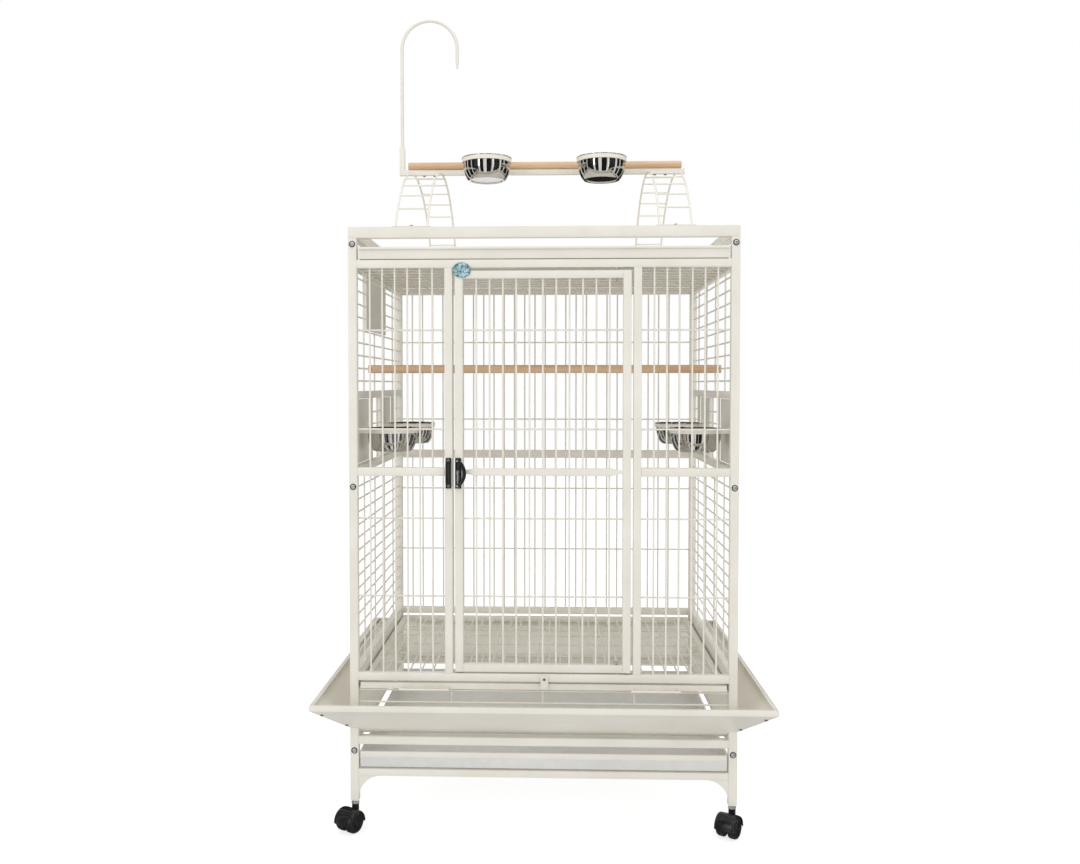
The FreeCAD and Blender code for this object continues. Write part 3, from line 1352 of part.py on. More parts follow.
def caster_fork(name, side, end):
    """A caster's hood, web and stem. The axle lies along X, in front of the swivel axis."""
    half_width = "(wheel_gap / 2 + wheel_width + 2)"
    axle_y = "-caster_trail"
    shell = rod(
        f"{name}_shell",
        X,
        (f"-{half_width}", axle_y, "wheel_radius"),
        f"2 * {half_width}",
        "2 * hood_radius",
    )
    hollow = rod(
        f"{name}_hollow",
        X,
        (f"-{half_width} - {SLACK}", axle_y, "wheel_radius"),
        f"2 * ({half_width} + {SLACK})",
        "2 * (wheel_radius + 1.5)",
    )
    hood = cut(f"{name}_hood", shell, hollow)
    keep = block(
        f"{name}_hood_limits",
        (f"-{half_width}", f"{axle_y} - 40", "wheel_radius + 2"),
        (half_width, f"{axle_y} + 40", "70"),
    )
    upper_hood = common(f"{name}_upper_hood", hood, keep)
    web = rod(f"{name}_web", X, ("-3.5", axle_y, "wheel_radius"), "7", "2 * (hood_radius - 0.5)")
    trimmed = common(
        f"{name}_web_trimmed",
        web,
        block(f"{name}_web_limits", ("-4", f"{axle_y} - 40", "14"), ("4", f"{axle_y} + 40", "70")),
    )
    boss = rod(f"{name}_boss", Z, ("0", "0", "40"), "post_foot - 44", "17")
    clear = rod(
        f"{name}_wheel_room", X, ("-29", axle_y, "wheel_radius"), "25.5", "2 * (wheel_radius + 1.5)"
    )
    clear_right = rod(
        f"{name}_wheel_room_right", X, ("3.5", axle_y, "wheel_radius"), "25.5", "2 * (wheel_radius + 1.5)"
    )
    boss_cut = cut(f"{name}_boss_trimmed", cut(f"{name}_boss_left", boss, clear), clear_right)
    stem = rod(f"{name}_stem", Z, ("0", "0", "50"), "post_foot - 50 + 38", "stem_size")
    whole = weld(f"{name}_whole", [upper_hood, trimmed, boss_cut, stem])
    drill = rod(f"{name}_axle_hole", X, ("-10", axle_y, "wheel_radius"), "20", "6 + 2 * running_gap")
    return turned_caster(cut(name, whole, drill), side, end)


def caster_wheels(name, side, end):
    """Two rounded wheels on one axle."""
    radius = "wheel_radius"
    profile = [
        ("3", "0"),
        (f"{radius} - 3", "0"),
        (f"{radius} - 0.8", "1.2"),
        (radius, "4"),
        (radius, "wheel_width - 6"),
        (f"{radius} - 1.5", "wheel_width - 2.5"),
        (f"{radius} - 5", "wheel_width - 0.5"),
        (f"{radius} - 9", "wheel_width"),
        ("3", "wheel_width"),
    ]
    right = turned(
        f"{name}_right",
        profile,
        ("wheel_gap / 2", "-caster_trail", "wheel_radius"),
        Rotation(Vector(0, 1, 0), 90),
    )
    left = turned(
        f"{name}_left",
        profile,
        ("-wheel_gap / 2", "-caster_trail", "wheel_radius"),
        Rotation(Vector(0, 1, 0), -90),
    )
    reach = "(wheel_gap / 2 + wheel_width)"
    axle = rod(f"{name}_axle", X, (f"-{reach}", "-caster_trail", "wheel_radius"), f"2 * {reach}", "6")
    return turned_caster(group(name, [left, right, axle]), side, end)


# ---------------------------------------------------------------- assembly

def build_cage():
    for piece in (
        corner_posts(),
        top_rim(),
        base_frame(),
        front_rails(),
        side_rails("left", -1),
        side_rails("right", 1),
        back_rails(),
        front_bars(),
        side_bars("left", -1),
        side_bars("right", 1),
        back_bars(),
        ceiling_bars(),
        gap_guards(),
        slide_runners(),
        seed_guard("front", X, -1),
        seed_guard("back", X, 1),
        seed_guard("left", Y, -1),
        seed_guard("right", Y, 1),
        frame_bolts(),
        small_screws(),
        door_frame(),
        door_bars(),
        latch_housing(),
        latch_lever(),
        strike_plate(),
        badge(),
        group("hinge_pins", door_pins() + small_pins()),
        nest_door(),
        nest_latch(),
        group("grate", grate_frame() + [grate_wires()]),
        grate_handles(),
        grate_tab(),
        open_tray("droppings_tray", "tray_underside", "tray_top", "8"),
        open_tray("play_top_tray", "top_tray_underside", "top_tray_top", "6"),
        ladder("left", -1),
        ladder("right", 1),
        perch_rail(),
        top_perch(),
        top_bowl_rings(),
        inside_perch(),
        toy_hook(),
        caster_sockets(),
    ):
        subpart(piece)


def build_feeders_and_bowls():
    for side_name, side in (("left", -1), ("right", 1)):
        for place_name, opening in zip(("near", "far"), side_openings()):
            name = f"{side_name}_{place_name}"
            subpart(feeder_door(name, side, opening))
            centre_y = f"({opening[0]} + {opening[1]}) / 2"
            subpart(bowl(f"bowl_{name}", f"{side} * feeder_bowl_offset", centre_y, "feeder_bowl_rim"))
        subpart(
            bowl(f"bowl_top_{side_name}", f"{side} * top_bowl_offset", "-top_bowl_front", "top_bowl_rim")
        )


def build_casters():
    for side_name, side in (("left", -1), ("right", 1)):
        for end_name, end in (("front", -1), ("back", 1)):
            subpart(caster_fork(f"caster_{end_name}_{side_name}", side, end))
            subpart(caster_wheels(f"wheels_{end_name}_{side_name}", side, end))


def check_document():
    for item in doc.Objects:
        if "Invalid" in item.State or "Error" in item.State:
            raise RuntimeError(f"{item.Label} failed: {item.State}")
    for item in subparts:
        shape = item.Shape
        if shape.isNull() or not shape.isValid() or not shape.Solids:
            raise RuntimeError(f"{item.Label} has no sound solid")
        if min(solid.Volume for solid in shape.Solids) <= TOLERANCE:
            raise RuntimeError(f"{item.Label} has an empty solid")


build_cage()
build_feeders_and_bowls()
build_casters()
doc.recompute()
check_document()
os.makedirs("parts", exist_ok=True)
for item in subparts:
    item.Shape.exportStep(f"parts/{item.Label}.step")
print(f"{len(subparts)} sub-parts written")
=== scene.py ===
"""Bird cage on stand: finishes, fixings, bowls, perches, latch, casters and the studio around them."""
import json
import math

import bmesh
import bpy
from mathutils import Matrix, Vector

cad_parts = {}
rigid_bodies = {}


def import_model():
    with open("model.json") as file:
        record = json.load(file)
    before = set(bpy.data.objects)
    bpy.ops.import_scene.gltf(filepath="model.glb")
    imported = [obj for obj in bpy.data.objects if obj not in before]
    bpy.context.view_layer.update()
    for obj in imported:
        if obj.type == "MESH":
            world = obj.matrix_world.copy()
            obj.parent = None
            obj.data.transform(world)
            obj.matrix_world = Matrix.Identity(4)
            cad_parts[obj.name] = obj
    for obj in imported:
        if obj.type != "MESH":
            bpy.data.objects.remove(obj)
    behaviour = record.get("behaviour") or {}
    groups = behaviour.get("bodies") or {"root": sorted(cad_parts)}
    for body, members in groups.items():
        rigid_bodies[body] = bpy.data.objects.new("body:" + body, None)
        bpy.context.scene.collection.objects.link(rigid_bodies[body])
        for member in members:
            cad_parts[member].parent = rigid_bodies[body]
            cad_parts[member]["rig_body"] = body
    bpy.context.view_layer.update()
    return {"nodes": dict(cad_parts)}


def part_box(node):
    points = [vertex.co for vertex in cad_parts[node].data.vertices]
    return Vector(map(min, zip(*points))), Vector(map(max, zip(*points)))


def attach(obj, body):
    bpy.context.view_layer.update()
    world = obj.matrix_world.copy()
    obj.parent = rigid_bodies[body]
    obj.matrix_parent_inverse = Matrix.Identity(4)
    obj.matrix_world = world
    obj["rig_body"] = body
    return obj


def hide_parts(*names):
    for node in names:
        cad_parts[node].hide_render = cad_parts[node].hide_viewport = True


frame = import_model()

bl_info = {
    "name": "Bird cage on stand", "version": (1, 0, 0), "blender": (4, 5, 0),
    "location": "3D View > Sidebar > Bird cage",
    "description": "Builds the visible finish of a play-top parrot cage around its welded frame",
    "category": "Object",
}

SIDES = {"left": -1, "right": 1}
ENDS = {"front": -1, "back": 1}
FULL_TURN = 2 * math.pi
MERGE_DISTANCE = 1e-6
FLAT_ANGLE = math.radians(0.4)
SHARP_ANGLE = math.radians(32)
POLE = 1e-7
MM = 0.001

TUBE_NODES = (
    "corner_posts", "top_rim", "base_frame", "front_rails", "left_rails", "right_rails", "back_rails",
    "door_frame", "perch_rail",
)
WIRE_NODES = (
    "front_bars", "left_bars", "right_bars", "back_bars", "ceiling_bars", "gap_guards", "door_bars", "grate",
    "top_bowl_rings",
)
SHEET_NODES = (
    "seed_guard_front", "seed_guard_back", "seed_guard_left", "seed_guard_right", "slide_runners",
    "play_top_tray",
)
SMALL_DOOR_NODES = (
    "nest_door", "feeder_door_left_near", "feeder_door_left_far", "feeder_door_right_near",
    "feeder_door_right_far",
)
BOWL_NODES = (
    "bowl_left_near", "bowl_left_far", "bowl_right_near", "bowl_right_far", "bowl_top_left", "bowl_top_right",
)


# ---------------------------------------------------------------- what a user would change

def length(name, description, default):
    """A length that a user may change."""
    return bpy.props.FloatProperty(name=name, description=description, default=default, min=0, unit="LENGTH")


def colour(name, description, default):
    """A colour that a user may change."""
    return bpy.props.FloatVectorProperty(
        name=name, description=description, default=default, size=3, min=0, max=1, subtype="COLOR"
    )


class CageSizes(bpy.types.PropertyGroup):
    """Sizes of the finish and of the detailed pieces."""

    tube_edge: length("Tube edge", "Rounding of the square tubes' long edges", 1.6 * MM)
    sheet_edge: length("Sheet edge", "Rounding of the folded sheets' edges", 0.45 * MM)
    ladder_wire: length("Ladder wire", "Radius of a ladder's side wires", 2.5 * MM)
    rung_wire: length("Rung wire", "Radius of a ladder's rungs", 2.0 * MM)
    hook_wire: length("Hook wire", "Radius of the toy hook's rod", 4.5 * MM)
    hook_tip: length("Hook tip", "Radius of the toy hook's slim end", 2.0 * MM)
    perch_chamfer: length("Perch chamfer", "Chamfer on the ends of the wooden perches", 1.5 * MM)
    bowl_wall: length("Bowl wall", "Thickness of the bowls' steel", 0.8 * MM)
    wheel_radius: length("Wheel radius", "Radius of the casters' wheels", 25 * MM)
    wheel_width: length("Wheel width", "Width of one caster wheel", 20 * MM)
    hood_radius: length("Hood radius", "Outside radius of the casters' hoods", 29 * MM)
    caster_trail: length("Caster trail", "Distance from the swivel axis to the axle", 20 * MM)
    caster_turn: bpy.props.FloatProperty(
        name="Caster turn", description="How far the casters are turned at rest",
        default=math.radians(-32), subtype="ANGLE",
    )


class CageColours(bpy.types.PropertyGroup):
    """Colours of the finishes."""

    coat: colour("Powder coat", "Warm off-white of the powder coat", (0.86, 0.83, 0.755))
    coat_shade: colour(
        "Powder coat shade", "Slightly deeper tone where the coat is thick", (0.80, 0.765, 0.68)
    )
    wood: colour("Wood", "Pale tone of the perches' wood", (0.76, 0.54, 0.36))
    grain: colour("Grain", "Darker lines of the perches' wood", (0.62, 0.40, 0.235))
    steel: colour("Bowl steel", "Polished stainless steel", (0.62, 0.61, 0.59))
    zinc: colour("Zinc", "Zinc plating of trays and fixings", (0.84, 0.83, 0.80))
    black: colour("Black plastic", "Plastic of the latch and casters", (0.014, 0.014, 0.015))
    tread: colour("Tread", "Rubber of the casters' wheels", (0.010, 0.010, 0.011))
    chrome: colour("Lever", "Bright plating of the latch's lever", (0.40, 0.41, 0.43))
    badge_deep: colour("Badge deep", "Deep tone of the badge's mottling", (0.03, 0.17, 0.21))
    badge_pale: colour("Badge pale", "Pale tone of the badge's mottling", (0.55, 0.70, 0.74))
    socket: colour("Caster socket", "Plastic plugs in the posts' feet", (0.66, 0.66, 0.63))


def sizes():
    """The scene's sizes."""
    return bpy.context.scene.cage_sizes


def colours():
    """The scene's colours."""
    return bpy.context.scene.cage_colours


# ---------------------------------------------------------------- shader groups and materials

def group_of(name, inputs):
    """A new shader group with named inputs (name: default), giving a colour, a roughness and a height."""
    tree = bpy.data.node_groups.new(name, "ShaderNodeTree")
    for label, value in inputs.items():
        kind = "NodeSocketColor" if isinstance(value, tuple) else "NodeSocketFloat"
        socket = tree.interface.new_socket(name=label, in_out="INPUT", socket_type=kind)
        socket.default_value = value
    for label, kind in (("Colour", "Color"), ("Roughness", "Float"), ("Height", "Float")):
        tree.interface.new_socket(name=label, in_out="OUTPUT", socket_type=f"NodeSocket{kind}")
    return tree, tree.nodes.new("NodeGroupInput").outputs, tree.nodes.new("NodeGroupOutput").inputs


def finish_group(tree, end, colour, roughness, height):
    """Link what a shader group gives."""
    for label, value in (("Colour", colour), ("Roughness", roughness), ("Height", height)):
        tree.links.new(value, end[label])
    return tree


def noise(tree, coordinates, scale, detail=3.0, roughness=0.55):
    """Noise on given coordinates; scale is a number or an output socket."""
    texture = tree.nodes.new("ShaderNodeTexNoise")
    texture.inputs["Detail"].default_value = detail
    texture.inputs["Roughness"].default_value = roughness
    tree.links.new(coordinates, texture.inputs["Vector"])
    feed(tree, scale, texture.inputs["Scale"])
    return texture.outputs["Fac"]


def feed(tree, value, socket):
    """Link an output socket, or set a number."""
    if isinstance(value, bpy.types.NodeSocket):
        tree.links.new(value, socket)
    else:
        socket.default_value = value


def spread(tree, value, low, high, out_low=0.0, out_high=1.0):
    """Stretch a value from one range to another."""
    node = tree.nodes.new("ShaderNodeMapRange")
    for socket, number in zip(node.inputs[:5], (value, low, high, out_low, out_high)):
        feed(tree, number, socket)
    return node.outputs["Result"]


def mixed(tree, factor, first, second):
    """Mix two colours."""
    node = tree.nodes.new("ShaderNodeMix")
    node.data_type = "RGBA"
    feed(tree, factor, node.inputs["Factor"])
    feed(tree, first, node.inputs[6])
    feed(tree, second, node.inputs[7])
    return node.outputs[2]


def object_coordinates(tree, scale=(1, 1, 1)):
    """Object coordinates, stretched by a scale."""
    coordinates = tree.nodes.new("ShaderNodeTexCoord")
    mapping = tree.nodes.new("ShaderNodeMapping")
    mapping.inputs["Scale"].default_value = scale
    tree.links.new(coordinates.outputs["Object"], mapping.inputs["Vector"])
    return mapping.outputs["Vector"]


def coat_group():
    """Powder coat: cloudy thickness and a fine orange-peel surface."""
    tree, start, end = group_of(
        "powder_coat_surface",
        {"Cloud Scale": 9.0, "Peel Scale": 620.0, "Low Roughness": 0.36, "High Roughness": 0.50,
         "Colour": (1.0, 1.0, 1.0, 1.0), "Shade": (0.9, 0.9, 0.9, 1.0)},
    )
    place = object_coordinates(tree)
    cloud = noise(tree, place, start["Cloud Scale"], 4.0)
    peel = noise(tree, place, start["Peel Scale"], 1.0)
    tint = mixed(tree, spread(tree, cloud, 0.32, 0.68), start["Shade"], start["Colour"])
    gloss = spread(tree, cloud, 0.3, 0.7, start["Low Roughness"], start["High Roughness"])
    return finish_group(tree, end, tint, gloss, peel)


def grain_group():
    """Wood grain that runs along X, with growth rings, pores and slow colour drift."""
    tree, start, end = group_of(
        "wood_grain",
        {"Ring Scale": 70.0, "Pore Scale": 900.0, "Pale": (0.7, 0.44, 0.235, 1.0),
         "Dark": (0.47, 0.25, 0.11, 1.0)},
    )
    rings = noise(tree, object_coordinates(tree, (0.06, 1, 1)), start["Ring Scale"], 5.0, 0.6)
    pores = noise(tree, object_coordinates(tree, (0.04, 1, 1)), start["Pore Scale"], 2.0)
    drift = noise(tree, object_coordinates(tree), 5.0, 2.0)
    line = spread(tree, rings, 0.36, 0.66)
    toned = mixed(tree, line, start["Dark"], start["Pale"])
    pored = mixed(tree, spread(tree, pores, 0.58, 0.72, 0.0, 0.55), toned, start["Dark"])
    tint = mixed(tree, spread(tree, drift, 0.35, 0.65, 0.0, 0.35), pored, start["Pale"])
    return finish_group(tree, end, tint, spread(tree, line, 0.0, 1.0, 0.62, 0.46), pores)


def spangle_group():
    """Zinc spangle: large soft crystals with fine rolling marks."""
    tree, start, end = group_of(
        "zinc_spangle",
        {"Crystal Scale": 60.0, "Low Roughness": 0.28, "High Roughness": 0.46,
         "Colour": (0.6, 0.6, 0.6, 1.0)},
    )
    crystals = tree.nodes.new("ShaderNodeTexVoronoi")
    tree.links.new(object_coordinates(tree), crystals.inputs["Vector"])
    tree.links.new(start["Crystal Scale"], crystals.inputs["Scale"])
    value = tree.nodes.new("ShaderNodeSeparateColor")
    tree.links.new(crystals.outputs["Color"], value.inputs["Color"])
    deep = mixed(tree, 0.35, start["Colour"], (0.30, 0.31, 0.33, 1.0))
    tint = mixed(tree, spread(tree, value.outputs["Red"], 0.0, 1.0, 0.0, 0.22), start["Colour"], deep)
    gloss = spread(tree, value.outputs["Green"], 0.0, 1.0, start["Low Roughness"], start["High Roughness"])
    rolling = noise(tree, object_coordinates(tree, (0.05, 1, 1)), 400.0, 2.0)
    return finish_group(tree, end, tint, gloss, rolling)


def polish_group():
    """Polished metal or moulded plastic: faint handling marks in gloss and colour."""
    tree, start, end = group_of(
        "handled_gloss",
        {"Scale": 40.0, "Low Roughness": 0.06, "High Roughness": 0.16, "Colour": (0.6, 0.6, 0.6, 1.0),
         "Dulled": (0.5, 0.5, 0.5, 1.0)},
    )
    rub = spread(tree, noise(tree, object_coordinates(tree), start["Scale"], 5.0, 0.6), 0.42, 0.68)
    tint = mixed(tree, rub, start["Colour"], start["Dulled"])
    gloss = spread(tree, rub, 0.0, 1.0, start["Low Roughness"], start["High Roughness"])
    return finish_group(tree, end, tint, gloss, noise(tree, object_coordinates(tree), 1500.0, 2.0))


def mottle_group():
    """A badge's mottled print: soft leaf-like patches in three tones."""
    tree, start, end = group_of(
        "mottled_print",
        {"Patch Scale": 160.0, "Deep": (0.03, 0.17, 0.21, 1.0), "Pale": (0.55, 0.7, 0.74, 1.0)},
    )
    place = object_coordinates(tree)
    patch = noise(tree, place, start["Patch Scale"], 4.0, 0.7)
    first = spread(tree, patch, 0.40, 0.62)
    toned = mixed(tree, first, start["Deep"], start["Pale"])
    green = spread(tree, noise(tree, place, 55.0, 2.0), 0.52, 0.64, 0.0, 0.6)
    tint = mixed(tree, green, toned, (0.10, 0.36, 0.26, 1.0))
    return finish_group(tree, end, tint, spread(tree, first, 0.0, 1.0, 0.2, 0.32), patch)


GROUPS = {
    "coat": coat_group, "grain": grain_group, "spangle": spangle_group, "polish": polish_group,
    "mottle": mottle_group,
}
MADE_GROUPS = {}


def surface(name, group, bump, metallic=0.0, coat=0.0, specular=0.5, **values):
    """A material whose colour, roughness and bump come from one of the shader groups."""
    material = bpy.data.materials.get(name)
    if material:
        return material
    material = bpy.data.materials.new(name)
    material.use_nodes = True
    tree = material.node_tree
    shader = next(node for node in tree.nodes if node.type == "BSDF_PRINCIPLED")
    shader.inputs["Metallic"].default_value = metallic
    shader.inputs["Coat Weight"].default_value = coat
    shader.inputs["Specular IOR Level"].default_value = specular
    shader.inputs["Coat Roughness"].default_value = 0.12
    pattern = tree.nodes.new("ShaderNodeGroup")
    pattern.node_tree = bpy.data.node_groups.get(MADE_GROUPS.get(group, "")) or GROUPS[group]()
    MADE_GROUPS[group] = pattern.node_tree.name
    for key, value in values.items():
        socket = pattern.inputs[key.replace("_", " ").title()]
        socket.default_value = (*value, 1.0) if socket.type == "RGBA" else value
    tree.links.new(pattern.outputs["Colour"], shader.inputs["Base Color"])
    tree.links.new(pattern.outputs["Roughness"], shader.inputs["Roughness"])
    relief = tree.nodes.new("ShaderNodeBump")
    relief.inputs["Strength"].default_value = bump[0]
    relief.inputs["Distance"].default_value = bump[1]
    tree.links.new(pattern.outputs["Height"], relief.inputs["Height"])
    tree.links.new(relief.outputs["Normal"], shader.inputs["Normal"])
    return material


def coat_material(kind="tube"):
    """Powder coat for a kind of stock; thin wire hides its texture more than broad sheet."""
    peel, cloud = {"tube": (620.0, 9.0), "wire": (900.0, 16.0), "sheet": (520.0, 6.0)}[kind]
    return surface(
        f"powder_coat_{kind}", "coat", (0.18, 0.25 * MM), coat=0.15,
        colour=colours().coat, shade=colours().coat_shade, peel_scale=peel, cloud_scale=cloud,
    )


def wood_material():
    """The perches' wood."""
    tones = {"pale": colours().wood, "dark": colours().grain}
    return surface("perch_wood", "grain", (0.35, 0.4 * MM), specular=0.25, **tones)


def zinc_material(kind="tray"):
    """Plated sheet is broad-grained and chalky; fixings are finer and brighter."""
    scale, low, high, metallic = {"tray": (55.0, 0.32, 0.50, 0.2), "fixing": (300.0, 0.22, 0.38, 0.85)}[kind]
    return surface(
        f"zinc_{kind}", "spangle", (0.12, 0.2 * MM), metallic=metallic,
        colour=colours().zinc, crystal_scale=scale, low_roughness=low, high_roughness=high,
    )


def handled(name, bump, colour, dulled, scale, low, high, **values):
    """A material whose gloss and colour are faintly worn by handling."""
    return surface(
        name, "polish", bump, colour=colour, dulled=dulled, scale=scale, low_roughness=low,
        high_roughness=high, **values,
    )


def dull_zinc_material(kind):
    """Darkened plating: washers are nearly black and small screws a middle grey."""
    tone = {"washer": 0.045, "screw": 0.19}[kind]
    bump, worn = (0.1, 0.1 * MM), 1.6 * tone
    return handled(f"dull_zinc_{kind}", bump, (tone,) * 3, (worn,) * 3, 120.0, 0.32, 0.5, metallic=0.6)


def steel_material():
    """The bowls' polished steel."""
    steel = colours().steel
    dulled = tuple(0.82 * channel for channel in steel)
    return handled("bowl_steel", (0.03, 0.05 * MM), steel, dulled, 28.0, 0.05, 0.13, metallic=1.0)


def black_material():
    """Moulded plastic of the latches and casters."""
    bump, dulled = (0.12, 0.15 * MM), (0.019, 0.019, 0.02)
    return handled("moulded_black", bump, colours().black, dulled, 60.0, 0.16, 0.3, specular=0.4)


def tread_material():
    """The casters' rubber."""
    bump, dulled = (0.2, 0.25 * MM), (0.024, 0.024, 0.025)
    return handled("wheel_tread", bump, colours().tread, dulled, 90.0, 0.42, 0.65, specular=0.3)


def lever_material():
    """Bright plating of the latch's lever."""
    bump, dulled = (0.02, 0.05 * MM), (0.5, 0.52, 0.56)
    return handled("lever_plating", bump, colours().chrome, dulled, 90.0, 0.08, 0.2, metallic=1.0)


def badge_material():
    """The badge's print under a clear coat."""
    tones = {"deep": colours().badge_deep, "pale": colours().badge_pale}
    return surface("badge_print", "mottle", (0.1, 0.1 * MM), coat=0.8, **tones)


def socket_material():
    """Pale plastic plugs in the posts' feet."""
    bump, dulled = (0.1, 0.15 * MM), (0.55, 0.55, 0.52)
    return handled("post_plug", bump, colours().socket, dulled, 50.0, 0.4, 0.55)


# ---------------------------------------------------------------- mesh helpers

def as_mesh(name, form):
    """Turn a bmesh into a mesh, smooth except over sharp edges."""
    for face in form.faces:
        face.smooth = True
    for edge in form.edges:
        edge.smooth = edge.calc_face_angle(0) < SHARP_ANGLE
    mesh = bpy.data.meshes.new(name)
    form.to_mesh(mesh)
    form.free()
    return mesh


def finished(name, shape, body, material, stands_for=()):
    """Add a finished piece at the origin, made of a mesh or a bmesh, and let it ride on a body."""
    mesh = as_mesh(name, shape) if isinstance(shape, bmesh.types.BMesh) else shape
    mesh.name = name
    mesh.materials.clear()
    mesh.materials.append(material)
    piece = bpy.data.objects.new(name, mesh)
    bpy.context.scene.collection.objects.link(piece)
    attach(piece, body)
    if stands_for:
        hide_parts(*stands_for)


def paint(node, material):
    """Give a part of the frame its finish."""
    mesh = frame["nodes"][node].data
    mesh.materials.clear()
    mesh.materials.append(material)


def body_of(node):
    """The body that a part of the frame rides on."""
    return frame["nodes"][node]["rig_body"]


def shells(form):
    """Groups of faces that hang together over edges with just two faces."""
    waiting, groups = set(form.faces), []
    while waiting:
        found, front = set(), [waiting.pop()]
        while front:
            face = front.pop()
            found.add(face)
            for edge in face.edges:
                if len(edge.link_faces) == 2:
                    for other in edge.link_faces:
                        if other in waiting:
                            waiting.discard(other)
                            front.append(other)
        groups.append(found)
    return groups


def closed_solids(node):
    """A copy of a frame part whose loose triangles are joined into closed solids that share no vertices."""
    form = bmesh.new()
    form.from_mesh(frame["nodes"][node].data)
    bmesh.ops.remove_doubles(form, verts=form.verts, dist=MERGE_DISTANCE)
    buried = []
    for group in shells(form):
        first = next(iter(group)).normal
        if all(abs(face.normal.dot(first)) > 0.999 for face in group):
            buried += group
    bmesh.ops.delete(form, geom=buried, context="FACES")
    touching = any(len(edge.link_faces) > 2 for edge in form.edges)
    if touching or any(not vert.is_manifold for vert in form.verts):
        for group in shells(form)[1:]:
            bmesh.ops.split(form, geom=list(group))
    return form


def rounded_copy(node, radius, shortest):
    """A copy of a frame part with its long outer edges rounded."""
    form = closed_solids(node)
    bmesh.ops.dissolve_limit(
        form, angle_limit=FLAT_ANGLE, verts=form.verts, edges=form.edges, use_dissolve_boundaries=False
    )
    long_edges = [
        edge for edge in form.edges if edge.is_manifold and edge.is_convex
        and edge.calc_face_angle(0) > math.radians(50) and edge.calc_length() > shortest
    ]
    bmesh.ops.bevel(
        form, geom=long_edges, offset=radius, segments=2, profile=0.5, affect="EDGES", clamp_overlap=False
    )
    return as_mesh(node, form)


def add_turned(form, profile, sides, place=Matrix(), start=0.0, sweep=FULL_TURN):
    """Turn (radius, height) points around Z. A zero radius makes a pole; a part sweep stays open."""
    closed = abs(sweep - FULL_TURN) < MERGE_DISTANCE
    steps = sides if closed else sides + 1
    rings, made = [], []
    for radius, height in profile:
        angles = [0.0] if radius < POLE else [start + sweep * step / sides for step in range(steps)]
        rings.append([form.verts.new((radius * math.cos(a), radius * math.sin(a), height)) for a in angles])
    for low, high in zip(rings, rings[1:]):
        for step in range(sides):
            corners = [low[step % len(low)], low[(step + 1) % len(low)]]
            corners += [high[(step + 1) % len(high)], high[step % len(high)]]
            made.append(form.faces.new(list(dict.fromkeys(corners))))
    bmesh.ops.recalc_face_normals(form, faces=made)
    bmesh.ops.transform(form, matrix=place, verts=[vert for ring in rings for vert in ring])


def add_slab(form, outline, depth, place, edge):
    """Extrude an outline of (x, y) points along +Z, round its edges and put it in place."""
    sheet = form.faces.new([form.verts.new((x, y, 0)) for x, y in outline])
    grown = bmesh.ops.extrude_face_region(form, geom=[sheet])["geom"]
    lifted = [item for item in grown if isinstance(item, bmesh.types.BMVert)]
    bmesh.ops.translate(form, vec=(0, 0, depth), verts=lifted)
    verts = set(sheet.verts) | set(lifted)
    faces = {face for vert in verts for face in vert.link_faces}
    bmesh.ops.recalc_face_normals(form, faces=list(faces))
    edges = {rim for face in faces for rim in face.edges if rim.calc_face_angle(0) > math.radians(25)}
    if edge > 0:
        made = bmesh.ops.bevel(
            form, geom=list(edges), offset=edge, segments=2, profile=0.5, affect="EDGES", clamp_overlap=True
        )
        verts = {vert for vert in verts if vert.is_valid} | set(made["verts"])
    bmesh.ops.transform(form, matrix=place, verts=list(verts))


def rectangle(left, foot, right, top):
    """The corners of a rectangle."""
    return [(left, foot), (right, foot), (right, top), (left, top)]


def points_from(radius, height, *steps):
    """Profile points at millimetre steps from a radius and a height."""
    return [(radius + across * MM, height + along * MM) for across, along in steps]


def arc_points(centre, middle, radius, half_angle, steps=16):
    """An arc around a centre from below to above; a negative angle runs it back down."""
    angles = [half_angle * (2 * step / steps - 1) for step in range(steps + 1)]
    return [(centre + radius * math.cos(angle), middle + radius * math.sin(angle)) for angle in angles]


def add_block(form, low, high, edge):
    """A block between two corners with rounded edges."""
    outline = rectangle(low[0], low[1], high[0], high[1])
    add_slab(form, outline, high[2] - low[2], Matrix.Translation((0, 0, low[2])), edge)


FACE_FRONT = Matrix(((1, 0, 0, 0), (0, 0, -1, 0), (0, 1, 0, 0), (0, 0, 0, 1)))
LIE_ALONG_X = Matrix(((0, 0, 1, 0), (0, 1, 0, 0), (-1, 0, 0, 0), (0, 0, 0, 1)))
RUN_ALONG_X = Matrix(((0, 0, 1, 0), (-1, 0, 0, 0), (0, 1, 0, 0), (0, 0, 0, 1)))


def wire_mesh(name, points, radii, sides=4):
    """A round wire along points, as thick at each as its radius says."""
    curve = bpy.data.curves.new(name, "CURVE")
    curve.dimensions = "3D"
    curve.bevel_depth = 1.0
    curve.bevel_resolution = sides
    curve.use_fill_caps = True
    line = curve.splines.new("POLY")
    line.points.add(len(points) - 1)
    for point, place, radius in zip(line.points, points, radii):
        point.co = (*place, 1)
        point.radius = radius
    carrier = bpy.data.objects.new(name, curve)
    bpy.context.scene.collection.objects.link(carrier)
    graph = bpy.context.evaluated_depsgraph_get()
    mesh = bpy.data.meshes.new_from_object(carrier.evaluated_get(graph), depsgraph=graph)
    bpy.data.objects.remove(carrier)
    form = bmesh.new()
    form.from_mesh(mesh)
    bmesh.ops.recalc_face_normals(form, faces=form.faces)
    return as_mesh(name, form)


# ---------------------------------------------------------------- geometry trees

